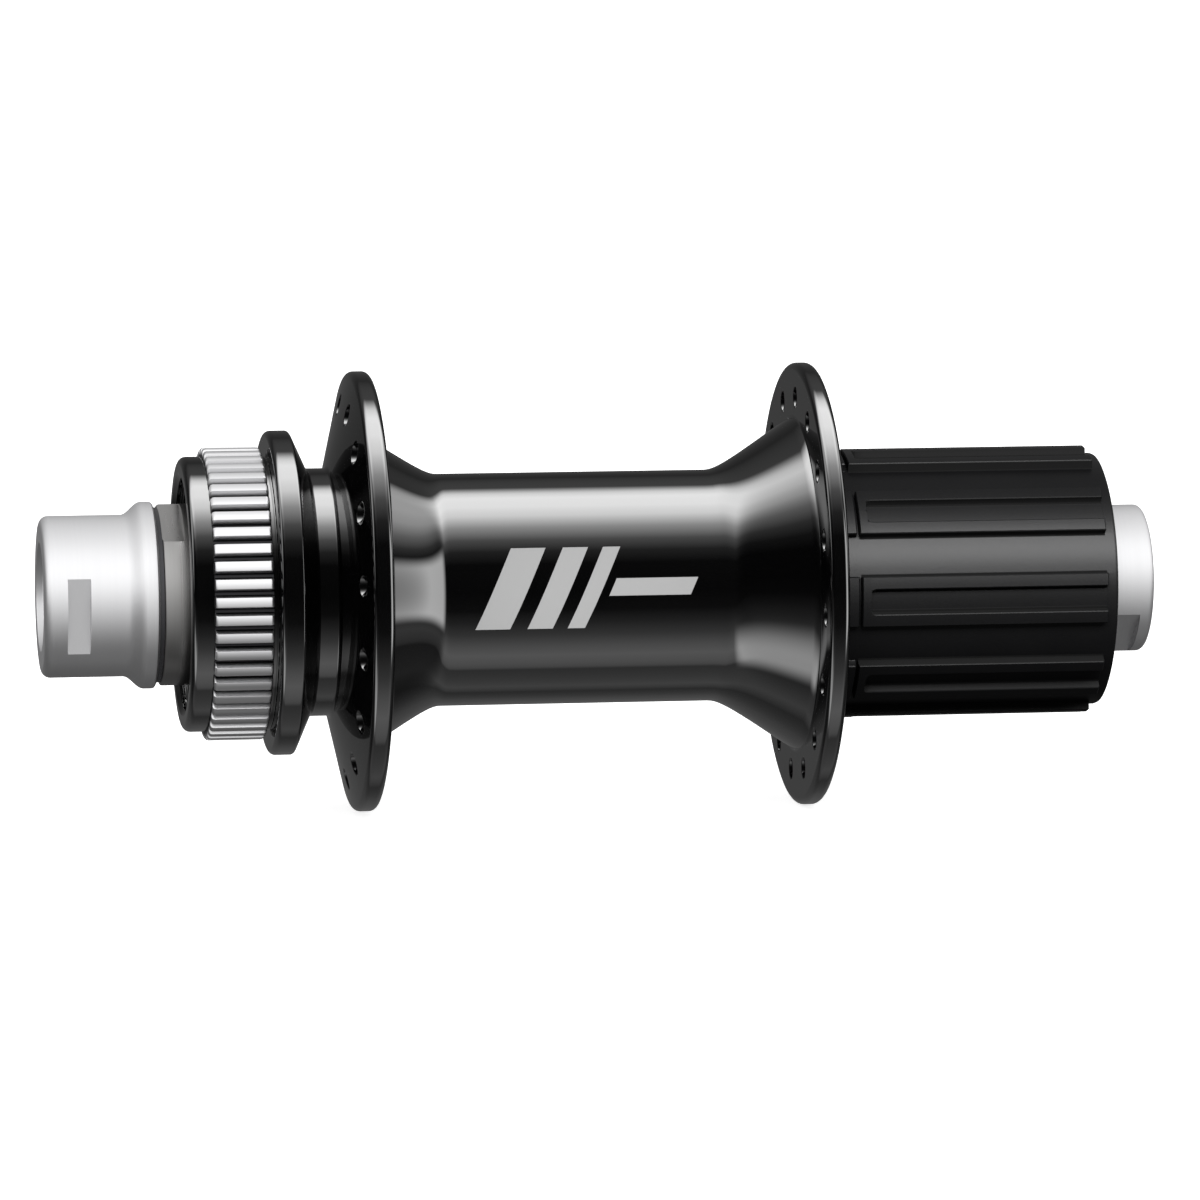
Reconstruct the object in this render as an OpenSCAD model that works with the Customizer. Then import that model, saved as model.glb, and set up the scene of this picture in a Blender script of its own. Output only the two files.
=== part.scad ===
// Rear bicycle hub for a 12 mm through axle, with a splined disc mount on the left
// and a splined cassette carrier (freehub) on the right.
// Millimetres. The hub turns about Y, +Y is the disc side, +X is forwards and +Z is up.
// The origin is on the axle, halfway between the two end faces.

/* [Axle and end caps] */
// Bore for the through axle
axle_bore_d = 12.2; // [10:0.1:12.6]
// Wall of the axle tube
axle_wall = 1.7; // [1.2:0.05:2]
// Outside of the left end cap
left_cap_d = 20.5; // [18:0.1:24.6]
// Length of the left end cap
left_cap_len = 14.3; // [11:0.1:20]
// Height of the collar at the inner end of the left end cap
left_collar_h = 1.6; // [0.6:0.1:3]
// Outside of the right end cap
right_cap_d = 18.9; // [17:0.1:20.5]
// Length of the right end cap that stands out of the cassette carrier
right_cap_show = 6.2; // [5.5:0.05:10]
// Depth of the spanner notches in both end caps
notch_depth = 1.25; // [0.6:0.05:1.5]
// Width of the spanner notches
notch_w = 2.8; // [2:0.1:3.4]

/* [Disc mount] */
// Length of the left cone that shows between the lock washer and the lip
cone_show = 2.9; // [2.5:0.1:6]
// Plain lip outside the disc splines
lip_len = 2.8; // [1.5:0.1:4]
// Wall between the lock ring thread and the outside of the lip
lip_wall = 2.55; // [2:0.05:4]
// Depth of the lock ring thread
disc_thread_len = 6.8; // [5.5:0.1:7.4]
// Length of the disc splines
spline_len = 7.4; // [6:0.1:10]
// Number of disc splines
spline_count = 51; // [24:1:60]
// Height of a disc spline
spline_h = 1.1; // [0.6:0.05:1.6]
// Width of the turned relief behind the splines
relief_len = 0.7; // [0.5:0.1:2]
// Height of the disc shoulder above the splines
shoulder_h = 2.05; // [1:0.05:4]
// Width of the disc shoulder
shoulder_len = 2.9; // [2:0.1:5]

/* [Hub shell] */
// Cone behind the disc shoulder, along the axle
back_cone_len = 2.2; // [1:0.1:4]
// Outside of the neck between the disc shoulder and the left spoke flange
neck_d = 31.5; // [30:0.1:38]
// Length of the neck
neck_len = 2.7; // [1.5:0.1:8]
// Outside of the left spoke flange
left_flange_d = 56; // [46:0.1:68]
// Outside of the right spoke flange
right_flange_d = 56.7; // [47:0.1:69]
// Distance from the edge of a flange to the circle of its spoke holes
spoke_inset = 4.2; // [3:0.05:6]
// Spoke holes in one flange
spoke_count = 16; // [12:1:20]
// Spoke hole
spoke_hole_d = 2.6; // [2.2:0.1:3.2]
// Rim thickness of the left flange
left_flange_t = 2.75; // [2:0.05:4]
// Thickness of the right flange
right_flange_t = 2.5; // [2:0.05:4]
// Dish of the left flange's outer face
left_dish = 2.8; // [1:0.1:4]
// Distance between the inner faces of the flanges
flange_gap = 54.55; // [44:0.05:72]
// Outside of the barrel
barrel_d = 29.6; // [25:0.1:37]
// Wall of the barrel
barrel_wall = 1.9; // [1.4:0.05:2.6]
// Rise of the left flare above the barrel
left_flare_h = 4.4; // [2:0.1:6]
// Length of the left flare
left_flare_len = 8.6; // [5:0.1:12]
// Rise of the right flare above the barrel
right_flare_h = 6.4; // [3:0.1:7]
// Length of the right flare
right_flare_len = 11.4; // [8:0.1:15]

/* [Cassette carrier] */
// Length that the cassette covers
cassette_len = 34.95; // [32:0.05:44]
// Outside of the cassette splines
cassette_d = 34.6; // [34:0.05:38]
// Depth of the grooves between the cassette splines
groove_depth = 1.1; // [0.6:0.05:1.3]
// Number of cassette splines
ridge_count = 9; // [7:1:11]
// Angle that one cassette spline covers
ridge_angle = 21.5; // [18:0.5:25]
// Width of the slot milled along each cassette spline
slot_w = 3.2; // [2:0.1:3.8]
// Height of the stop shoulder above the cassette splines
stop_h = 0.6; // [0.3:0.05:1.5]
// Width of the stop shoulder
stop_len = 1.25; // [0.8:0.05:2.5]
// Depth of the cassette lock ring thread
cassette_thread_len = 8.4; // [6:0.1:9]
// Ratchet teeth inside the carrier
ratchet_count = 36; // [24:12:48]

/* [Bearings] */
// Main bearing ball
ball_d = 3.969; // [3.2:0.001:4.8]
// Left cone's wall under its ball race
left_cone_wall = 1.47; // [1:0.01:2.5]
// Right cone's wall under its ball race
right_cone_wall = 0.47; // [0.4:0.01:0.8]
// Wall of the left bearing cup
cup_wall = 1.07; // [0.8:0.01:1.6]
// Carrier bearing ball
small_ball_d = 3.175; // [2.5:0.001:3.9]
// Wall between the carrier's grooves and its ball races
race_wall = 1.56; // [1.2:0.01:1.9]

/* [Hidden] */
$fn = 96;

overrun = 0.05;      // how far a cutting tool passes a face
running = 0.05;      // gap round a rolling ball
slip = 0.1;          // gap round a shaft that is slid in
turning = 0.25;      // gap between rings that turn past each other
ball_gap = 0.15;     // gap between neighbouring balls in a retainer
loose_gap = 0.06;    // gap between neighbouring loose balls
edge = 0.35;         // small edge break
soft_edge = 0.8;     // turned edge of a flange or a shoulder

// Radii of the axle and the main bearings, from the axle outwards
bore_r = axle_bore_d / 2;
axle_r = bore_r + axle_wall;
left_cap_r = left_cap_d / 2;
right_cap_r = right_cap_d / 2;
ball_r = ball_d / 2;
race_r = ball_r + running;
left_pitch_r = axle_r + left_cone_wall + race_r;
right_pitch_r = axle_r + right_cone_wall + race_r;
left_cone_r = left_pitch_r + 0.2;
right_cone_r = right_pitch_r + 0.2;
cup_r = left_pitch_r + race_r + cup_wall;
cup_mouth = 0.88 * race_r;       // rise of a cup's mouth above its ball circle
cup_lip = 0.4;                   // how far a cup's inner lip reaches below its ball circle

// Radii of the disc mount and the shell
thread_step = 0.5;
disc_thread_r = cup_r + thread_step;
lip_r = disc_thread_r + lip_wall;
spline_r = lip_r + spline_h;
shoulder_r = spline_r + shoulder_h;
neck_r = neck_d / 2;
left_flange_r = left_flange_d / 2;
right_flange_r = right_flange_d / 2;
barrel_r = barrel_d / 2;
barrel_bore_r = barrel_r - barrel_wall;
left_root_r = barrel_r + left_flare_h;
right_root_r = barrel_r + right_flare_h;

// Radii of the cassette carrier, from its grooves inwards, and of what it turns on
carrier_r = cassette_d / 2;
groove_r = carrier_r - groove_depth;
stop_r = carrier_r + stop_h;
small_r = small_ball_d / 2;
small_race_r = small_r + running;
carrier_bore_r = groove_r - race_wall;
small_pitch_r = carrier_bore_r - small_race_r;
carrier_thread_r = carrier_bore_r + 0.3;
tooth_h = 1.05;
ratchet_tip_r = small_pitch_r + 0.35;
ratchet_root_r = ratchet_tip_r + tooth_h;
inner_r = ratchet_tip_r - 0.45;
inner_flange_r = carrier_bore_r - turning - 0.2;
right_cup_r = small_pitch_r + 0.9;
bolt_bore_r = axle_r + 0.5;
bolt_r = bolt_bore_r + 1.1;
bolt_head_r = bolt_r + 1.2;
head_bore_r = bolt_head_r + slip;
spigot_r = bolt_r + 1.8;
boss_r = spigot_r + 2.8;

// Stations along the axle, from the left end face to the right one
washer_t = 0.6;
carrier_gap = 0.5;
left_len = left_cap_len + washer_t + cone_show + lip_len + spline_len + relief_len
    + shoulder_len + back_cone_len + neck_len + left_dish + left_flange_t;
right_len = right_flange_t + carrier_gap + stop_len + cassette_len + right_cap_show;
y_left = (left_len + flange_gap + right_len) / 2;
y_cap = y_left - left_cap_len;
y_washer = y_cap - washer_t;
y_lip = y_washer - cone_show;
y_spline = y_lip - lip_len;
y_relief = y_spline - spline_len;
y_shoulder = y_relief - relief_len;
y_back_cone = y_shoulder - shoulder_len;
y_neck = y_back_cone - back_cone_len;
y_dish = y_neck - neck_len;
y_left_rim = y_dish - left_dish;
y_left_inner = y_left_rim - left_flange_t;
y_right_inner = y_left_inner - flange_gap;
y_right_outer = y_right_inner - right_flange_t;
y_carrier = y_right_outer - carrier_gap;
y_stop = y_carrier - stop_len;
y_carrier_end = y_stop - cassette_len;
y_right = y_carrier_end - right_cap_show;

// Stations of the left bearing
nose_len = 1.0;                  // how far a cone reaches past its ball circle
left_balls_in = 10.7;            // from the lip's face to the middle of the balls
cup_floor = 1.25;                // metal of a cup behind its race
cup_rim = 0.7;                   // metal of a cup in front of its race
cover_t = 0.6;
left_cover_in = 2.4;             // from the lip's face to the dust cover
skirt_len = 2.2;
y_thread_end = y_lip - disc_thread_len;
y_left_balls = y_lip - left_balls_in;
y_cup_end = y_left_balls - race_r - cup_floor;
y_cup_mouth = y_left_balls + race_r + cup_rim;
y_left_cover = y_lip - left_cover_in;

// Stations of the cassette carrier
y_pad_end = y_stop - 1.35;       // short pads, then a turned relief, then the splines
y_relief_end = y_pad_end - 0.4;
y_boss = y_carrier - 0.3;
spigot_len = 4.4;
y_diaphragm = y_boss + spigot_len + 0.3;
diaphragm_t = 8;
y_small_left = y_carrier - 4;
y_ratchet = y_small_left - small_race_r - 1.8;
ratchet_len = 6.4;
y_ratchet_end = y_ratchet - ratchet_len;
y_pawl = (y_ratchet + y_ratchet_end) / 2;
y_bolt_seat = y_ratchet_end - 0.8;
bolt_head_len = 3.8;
y_cup_spigot = y_bolt_seat - bolt_head_len - 0.4;
right_balls_in = 7.15;           // from the carrier's end to the middle of the balls
y_right_balls = y_carrier_end + right_balls_in;
y_small_right = y_right_balls + race_r + 1.6;
y_inner_end = y_small_right + small_race_r + 0.3;
y_right_cup_end = y_right_balls - race_r - 1.6;
y_right_cover = y_right_cup_end - 0.3;
y_right_step = y_right_cover - cover_t - 0.3;
y_right_washer = y_carrier_end + 1.5;
right_washer_t = 0.8;
y_right_cap = y_right_washer - right_washer_t;
tube_short = 4.5;      // how far the axle tube stops inside each end face
cap_chamfer = 1.1;
bore_chamfer = 0.8;
left_notch_in = 2.9;   // from the left end face to the left cap's notches
right_notch_in = 1.8;  // from the right end face to the right cap's notches
cone_flat_depth = 1.2;

// Angles about the axle: 0 points forwards, 90 down and 180 backwards
facing = 187;
left_hole_phase = facing + 1.7;
right_hole_phase = left_hole_phase - 180 / spoke_count;
ridge_phase = facing - 8.4;
left_notch_phase = facing - 16.5;
right_notch_phase = facing - 60;
cone_flat_phase = facing + 62;

// Pawls: each one turns on a round root near the outside of the inner body
pawl_w = 5.4;
pawl_angle = 26;                       // from a pawl's tip to its root, about the axle
pawl_root_r = 1.05;
pawl_root_at = inner_r - 1.4;          // radius of the roots' centres
pawl_tip_r = ratchet_root_r - 0.3;
pawl_nose_t = 1.35;
pawl_back_angle = 12;
pawl_swing = 10;                       // swing from engaged to clear of the teeth
tooth_lead = 0.9;                      // angle from a tooth's root to a pawl's tip
tooth_rake = 1.7;                      // angle that a tooth's steep side covers
pocket_gap = 0.12;
tuck = 0.04;                           // how far a flank starts inside its round root
wire_r = 0.4;
wire_ring_r = inner_r - wire_r - 0.15;

// ---- Shared shapes ----

// Takes a shape drawn about Z and lays it along the axle
module along_axle() {
    rotate([-90, 0, 0]) children();
}

// Turns a flat shape, drawn as [radius, station], about the axle
module turn() {
    along_axle() rotate_extrude() children();
}

// A plain ring between two stations
module ring(r_in, r_out, y_a, y_b) {
    along_axle() translate([0, 0, min(y_a, y_b)]) difference() {
        cylinder(r = r_out, h = abs(y_b - y_a));
        translate([0, 0, -overrun]) cylinder(r = r_in, h = abs(y_b - y_a) + 2 * overrun);
    }
}

// Carries a flat shape, drawn across the axle, from one station to another
module carry(y_a, y_b) {
    along_axle() translate([0, 0, min(y_a, y_b)]) linear_extrude(height = abs(y_b - y_a))
        children();
}

function polar(r, a) = [r * cos(a), r * sin(a)];

// The greatest number of balls that fit round a circle
function ball_count(pitch_r, r, gap) = floor(180 / asin((r + gap / 2) / pitch_r));

// A ring of equal balls
module ball_ring(count, pitch_r, y, r) {
    along_axle() for (i = [0:count - 1])
        rotate([0, 0, 360 * i / count]) translate([pitch_r, 0, y]) sphere(r = r);
}

// A crown of prongs between the balls, joined by a ring on one side of them
module retainer(count, pitch_r, y, side) {
    r_in = pitch_r + 0.2 + turning;
    r_out = pitch_r + cup_mouth - 0.2;
    difference() {
        ring(r_in, r_out, y + side * 0.9, y + side * (ball_r + 0.45));
        ball_ring(count, pitch_r, y, ball_r + running);
    }
}

// What two opposite flats at distance d from the axle cut away
module flats(phase, d, y_a, y_b) {
    reach = 2 * left_cap_d;
    along_axle() for (side = [0, 180])
        rotate([0, 0, phase + side]) translate([d, -reach / 2, min(y_a, y_b)])
            cube([reach, reach, abs(y_b - y_a)]);
}

// ---- Axle and what stays still with it ----

module axle_tube() {
    color("silver") ring(bore_r, axle_r, y_right + tube_short, y_left - tube_short);
}

// Outline of an end cap's outer end, where side is 1 on the left and -1 on the right
function cap_end(cap_r, y_end, side) = [
    [cap_r, y_end - side * cap_chamfer], [cap_r - edge, y_end - side * edge],
    [cap_r - cap_chamfer, y_end], [bore_r + bore_chamfer, y_end],
    [bore_r, y_end - side * bore_chamfer], [bore_r, y_end - side * tube_short],
    [axle_r, y_end - side * tube_short]];

module left_end_cap() {
    collar_r = left_cap_r + left_collar_h;
    collar_len = 1.4;
    slope_len = 2.6;
    slope = [for (i = [1:8]) [left_cap_r + left_collar_h * (1 + cos(22.5 * i)) / 2,
        y_cap + collar_len + slope_len * i / 8]];
    color("gainsboro") difference() {
        turn() polygon(concat(
            [[axle_r, y_cap], [collar_r - edge, y_cap], [collar_r, y_cap + edge],
             [collar_r, y_cap + collar_len]],
            slope, cap_end(left_cap_r, y_left, 1)));
        flats(left_notch_phase, left_cap_r - notch_depth, y_left - left_notch_in,
            y_left - left_notch_in - notch_w);
    }
}

module left_lock_washer() {
    color("dimgray") ring(axle_r, left_cone_r - 0.4, y_washer, y_cap);
}

module left_cone() {
    color("darkgray") difference() {
        turn() difference() {
            polygon([[axle_r, y_left_balls - nose_len], [left_cone_r, y_left_balls - nose_len],
                     [left_cone_r, y_washer - edge], [left_cone_r - edge, y_washer],
                     [axle_r, y_washer]]);
            translate([left_pitch_r, y_left_balls]) circle(r = race_r);
        }
        flats(cone_flat_phase, left_cone_r - cone_flat_depth, y_lip + slip, y_washer + overrun);
    }
}

// A pressed cover on the cone, with a skirt inside the lock ring thread
module left_dust_cover() {
    skirt_r = disc_thread_r - turning - 0.15;
    color([0.08, 0.08, 0.08]) turn() polygon([
        [left_cone_r, y_left_cover], [skirt_r, y_left_cover], [skirt_r, y_left_cover - skirt_len],
        [skirt_r - cover_t, y_left_cover - skirt_len], [skirt_r - cover_t, y_left_cover - cover_t],
        [left_cone_r, y_left_cover - cover_t]]);
}

module right_cone() {
    shank_r = right_cap_r + 0.15;
    color("darkgray") difference() {
        turn() difference() {
            polygon([[axle_r, y_right_balls + nose_len], [right_cone_r, y_right_balls + nose_len],
                     [right_cone_r, y_right_step], [shank_r, y_right_step],
                     [shank_r, y_right_washer], [axle_r, y_right_washer]]);
            translate([right_pitch_r, y_right_balls]) circle(r = race_r);
        }
        flats(right_notch_phase, shank_r - 0.8, y_right_washer - overrun, y_right_washer + 0.8);
    }
}

module right_dust_cover() {
    color([0.1, 0.1, 0.1])
        ring(right_cone_r, right_cup_r, y_right_cover, y_right_cover - cover_t);
}

module right_lock_washer() {
    color("dimgray") ring(axle_r, right_cap_r - 0.2, y_right_washer, y_right_cap);
}

module right_end_cap() {
    color("gainsboro") difference() {
        turn() polygon(concat(
            [[axle_r, y_right_cap], [right_cap_r, y_right_cap]],
            cap_end(right_cap_r, y_right, -1)));
        flats(right_notch_phase, right_cap_r - notch_depth, y_right + right_notch_in,
            y_right + right_notch_in + notch_w);
    }
}

// ---- Hub shell and what turns with it ----

// Outline of a flare that leaves the barrel gently and steepens up to the flange
function flare(rise, y_barrel, y_flange) = [for (i = [0:10]) let (t = i / 10)
    [barrel_r + rise * pow(t, 1.7), y_barrel + (y_flange - y_barrel) * t]];

function reversed(list) = [for (i = [len(list) - 1:-1:0]) list[i]];

// Edge of a flange of radius r, from the face at y_a round to the face at y_b
function flange_edge(r, y_a, y_b) = [
    [r - soft_edge, y_a], [r - 0.25, y_a - 0.2], [r, y_a - soft_edge],
    [r, y_b + soft_edge], [r - 0.25, y_b + 0.2], [r - soft_edge, y_b]];

module shell_outside() {
    turn() polygon(concat(
        [[0, y_lip], [lip_r - soft_edge, y_lip], [lip_r - 0.2, y_lip - 0.2],
         [lip_r, y_lip - soft_edge], [lip_r, y_relief],
         [lip_r - 0.15, y_relief], [lip_r - 0.15, y_shoulder],
         [shoulder_r - soft_edge, y_shoulder], [shoulder_r - 0.2, y_shoulder - 0.2],
         [shoulder_r, y_shoulder - soft_edge], [shoulder_r, y_back_cone + edge],
         [shoulder_r - edge, y_back_cone], [neck_r + edge, y_neck + 0.1],
         [neck_r, y_neck - edge], [neck_r, y_dish + edge], [neck_r + edge, y_dish]],
        flange_edge(left_flange_r, y_left_rim, y_left_inner),
        [[left_root_r, y_left_inner]],
        reversed(flare(left_flare_h, y_left_inner - left_flare_len, y_left_inner - edge)),
        flare(right_flare_h, y_right_inner + right_flare_len, y_right_inner + edge),
        [[right_root_r + edge, y_right_inner]],
        flange_edge(right_flange_r, y_right_inner, y_right_outer),
        [[boss_r, y_right_outer], [boss_r, y_boss], [0, y_boss]]));
}

// Everything bored out of the shell along the axle
module shell_inside() {
    turn() polygon([
        [0, y_lip + overrun], [disc_thread_r + edge, y_lip + overrun],
        [disc_thread_r, y_lip - edge], [disc_thread_r, y_thread_end], [cup_r, y_thread_end],
        [cup_r, y_cup_end], [barrel_bore_r, y_cup_end],
        [barrel_bore_r, y_diaphragm + diaphragm_t], [bolt_r, y_diaphragm + diaphragm_t],
        [bolt_r, y_boss - overrun], [0, y_boss - overrun]]);
}

// Tooth outlines of the disc splines, standing on the lip's radius
module disc_splines() {
    pitch = 360 / spline_count;
    foot_r = lip_r - 0.4;
    carry(y_relief, y_spline) polygon([for (i = [0:spline_count - 1]) each [
        polar(foot_r, pitch * (i - 0.42)), polar(spline_r, pitch * (i - 0.26)),
        polar(spline_r, pitch * (i + 0.26)), polar(foot_r, pitch * (i + 0.42))]]);
}

// Twelve drive teeth: grow widens them all round for the socket that they fit
module drive_spline(grow) {
    root_r = spigot_r - 0.8;
    circle(r = root_r + grow);
    for (i = [0:11]) rotate(30 * i)
        translate([0, -1.5 - grow]) square([spigot_r + grow, 3 + 2 * grow]);
}

module spoke_holes(flange_r, phase, y_a, y_b) {
    along_axle() for (i = [0:spoke_count - 1])
        rotate([0, 0, phase + 360 * i / spoke_count])
            translate([flange_r - spoke_inset, 0, y_b - 1])
                cylinder(d = spoke_hole_d, h = y_a - y_b + 2);
}

module hub_shell() {
    color([0.05, 0.05, 0.055]) difference() {
        union() {
            shell_outside();
            disc_splines();
        }
        shell_inside();
        carry(y_boss - overrun, y_diaphragm) drive_spline(slip);
        spoke_holes(left_flange_r, left_hole_phase, y_dish, y_left_inner);
        spoke_holes(right_flange_r, right_hole_phase, y_right_inner, y_right_outer);
    }
}

module left_cup() {
    color("gray") turn() difference() {
        polygon([[left_pitch_r - cup_lip, y_cup_end], [cup_r, y_cup_end],
                 [cup_r, y_cup_mouth], [left_pitch_r + cup_mouth, y_cup_mouth],
                 [left_pitch_r + cup_mouth, y_left_balls],
                 [left_pitch_r - cup_lip, y_left_balls]]);
        translate([left_pitch_r, y_left_balls]) circle(r = race_r);
    }
}

module left_seal() {
    color([0.06, 0.06, 0.06])
        ring(left_cone_r + turning, cup_r, y_cup_mouth, y_thread_end - 0.05);
}

module pawl_seat(i) {
    rotate(120 * i) children();
}

// Where the middle pocket's root circle lies
pawl_root = polar(pawl_root_at, pawl_angle);
pawl_tip = [pawl_tip_r, 0];
pawl_axis = atan2(pawl_tip[1] - pawl_root[1], pawl_tip[0] - pawl_root[0]);

// A point at distance r from the pawl's root, at right angles to the pawl
function beside_root(r, swing) = pawl_root + polar(r, pawl_axis + 90 - swing);

module pawl_arm() {
    polygon([beside_root(pawl_root_r - tuck, 0), polar(inner_r + 0.1, pawl_back_angle),
             pawl_tip, pawl_tip - [pawl_nose_t, 0], beside_root(tuck - pawl_root_r, 0)]);
}

// The pocket leaves room for a pawl from engaged to fully pressed in
module pawl_pocket() {
    seat_r = pawl_root_r + pocket_gap;
    mouth_r = inner_r + 1;
    translate(pawl_root) circle(r = seat_r);
    polygon([beside_root(seat_r - tuck, 0), polar(mouth_r, pawl_angle - 3),
             polar(mouth_r, -5), polar(inner_r - pawl_nose_t - 0.15, -4.5),
             beside_root(tuck - seat_r, pawl_swing)]);
}

module freehub_inner_body() {
    flange_end = y_small_left + 0.75 * small_race_r;
    seal_groove_r = inner_flange_r - 1;
    color("darkgray") difference() {
        union() {
            turn() difference() {
                polygon([[inner_flange_r, y_boss], [0, y_boss], [0, y_inner_end],
                         [inner_r, y_inner_end], [inner_r, y_small_left],
                         [inner_flange_r, y_small_left]]);
                translate([small_pitch_r, y_small_left]) circle(r = small_race_r);
                translate([inner_r + 0.01, y_small_left - small_race_r - 1])
                    square([3, small_race_r + 1 + flange_end - y_small_left]);
            }
            carry(y_boss - 1, y_boss + spigot_len) drive_spline(0);
        }
        turn() polygon([
            [0, y_boss + spigot_len + 1], [bolt_r + slip, y_boss + spigot_len + 1],
            [bolt_r + slip, y_bolt_seat], [head_bore_r, y_bolt_seat],
            [head_bore_r, y_cup_spigot], [spigot_r, y_cup_spigot],
            [spigot_r, y_inner_end - 1], [0, y_inner_end - 1]]);
        ring(seal_groove_r, inner_flange_r + 1, y_boss - 0.4, y_boss - 1.4);
        carry(y_ratchet - 0.3, y_ratchet_end + 0.3) for (i = [0:2])
            pawl_seat(i) pawl_pocket();
        ring(wire_ring_r - wire_r - running, inner_r + 1, y_pawl + wire_r + slip,
            y_pawl - wire_r - slip);
    }
}

// Hollow bolt that clamps the inner body to the shell, with a hexagon socket
module freehub_fixing_bolt() {
    socket_af = 2 * bolt_bore_r + 0.7;
    shank_len = y_diaphragm + diaphragm_t - 0.8 - y_bolt_seat;
    color("dimgray") along_axle() difference() {
        union() {
            translate([0, 0, y_bolt_seat]) cylinder(r = bolt_r, h = shank_len);
            translate([0, 0, y_bolt_seat - bolt_head_len])
                cylinder(r = bolt_head_r, h = bolt_head_len);
        }
        translate([0, 0, y_bolt_seat - bolt_head_len - 1])
            cylinder(r = bolt_bore_r, h = shank_len + bolt_head_len + 2);
        translate([0, 0, y_bolt_seat - bolt_head_len - 1])
            cylinder(r = socket_af / sqrt(3), h = bolt_head_len + 0.4, $fn = 6);
    }
}

// Screwed into the inner body: carries the carrier's outer row of balls on its
// shoulder and the right main bearing inside
module right_cup() {
    y_open = y_cup_spigot - 0.4;
    y_shoulder_top = y_inner_end - 0.1;
    color("gray") turn() difference() {
        polygon([[bolt_bore_r + 0.6, y_open], [spigot_r, y_open],
                 [spigot_r, y_shoulder_top], [right_cup_r - 0.6, y_shoulder_top],
                 [right_cup_r - 0.6, y_small_right], [right_cup_r, y_small_right],
                 [right_cup_r, y_right_cup_end],
                 [right_pitch_r + cup_mouth, y_right_cup_end],
                 [right_pitch_r + cup_mouth, y_right_balls],
                 [right_pitch_r - cup_lip, y_right_balls],
                 [right_pitch_r - cup_lip, y_right_balls + race_r + 0.7],
                 [bolt_bore_r + 0.6, y_right_balls + race_r + 1.2]]);
        translate([small_pitch_r, y_small_right]) circle(r = small_race_r);
        translate([right_pitch_r, y_right_balls]) circle(r = race_r);
    }
}

module right_seal() {
    color([0.06, 0.06, 0.06]) ring(right_cone_r + turning, right_pitch_r + cup_mouth,
        y_right_cup_end + 0.1, y_right_cup_end + 0.9);
}

module freehub_seal() {
    color([0.06, 0.06, 0.06])
        ring(inner_flange_r - 1, carrier_bore_r - 0.1, y_boss - 0.4, y_boss - 1.4);
}

// Wire ring that presses the pawls outwards
module pawl_spring() {
    color("silver") turn() translate([wire_ring_r, y_pawl]) circle(r = wire_r);
}

module freehub_left_balls() {
    color("silver") ball_ring(ball_count(small_pitch_r, small_r, loose_gap),
        small_pitch_r, y_small_left, small_r);
}

module freehub_right_balls() {
    color("silver") ball_ring(ball_count(small_pitch_r, small_r, loose_gap),
        small_pitch_r, y_small_right, small_r);
}

// One pawl, slotted where the spring wire crosses it
module pawl(i) {
    y_a = y_pawl - pawl_w / 2;
    y_b = y_pawl + pawl_w / 2;
    slot_gap = 3 * slip;
    color("gray") difference() {
        union() {
            carry(y_a, y_b) pawl_seat(i) translate(pawl_root) circle(r = pawl_root_r);
            carry(y_a, y_b) pawl_seat(i) pawl_arm();
        }
        ring(wire_ring_r - wire_r - slot_gap, ratchet_root_r + 1, y_pawl + wire_r + slot_gap,
            y_pawl - wire_r - slot_gap);
    }
}

module pawl_1() {
    pawl(0);
}

module pawl_2() {
    pawl(1);
}

module pawl_3() {
    pawl(2);
}

// ---- Cassette carrier ----

// Sawtooth hole: each tooth faces the pawls with its steep side
module ratchet_hole() {
    pitch = 360 / ratchet_count;
    polygon([for (i = [0:ratchet_count - 1]) each [
        polar(ratchet_tip_r, pitch * i - tooth_lead - tooth_rake),
        polar(ratchet_root_r, pitch * i - tooth_lead)]]);
}

// What is milled away between two neighbouring splines
module carrier_groove(a_from, a_to) {
    reach = 1.6 * carrier_r;
    difference() {
        polygon([[0, 0], polar(reach, a_from), polar(reach, (a_from + a_to) / 2),
                 polar(reach, a_to)]);
        circle(r = groove_r);
    }
}

module carrier_grooves() {
    pitch = 360 / ridge_count;
    key = floor(ridge_count / 2);        // this groove is narrow, so a cassette fits one way
    for (i = [0:ridge_count - 1]) {
        centre = ridge_phase + pitch * i;
        narrowing = i == key ? (pitch - ridge_angle) / 2 : 0;
        carrier_groove(centre + ridge_angle / 2, centre + pitch - ridge_angle / 2 - narrowing);
    }
}

// Slots that lighten the splines: round at the inner end and open at the outer end
module ridge_slots() {
    pitch = 360 / ridge_count;
    y_slot = y_relief_end - 1.1;
    depth = groove_depth - 0.1;
    along_axle() for (i = [0:ridge_count - 1])
        rotate([0, 0, ridge_phase + pitch * i]) {
            translate([carrier_r - depth, -slot_w / 2, y_carrier_end - 1])
                cube([depth + 1, slot_w, y_slot - slot_w / 2 - y_carrier_end + 1]);
            translate([carrier_r - depth, 0, y_slot - slot_w / 2]) rotate([0, 90, 0])
                cylinder(d = slot_w, h = depth + 1);
        }
}

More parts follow.
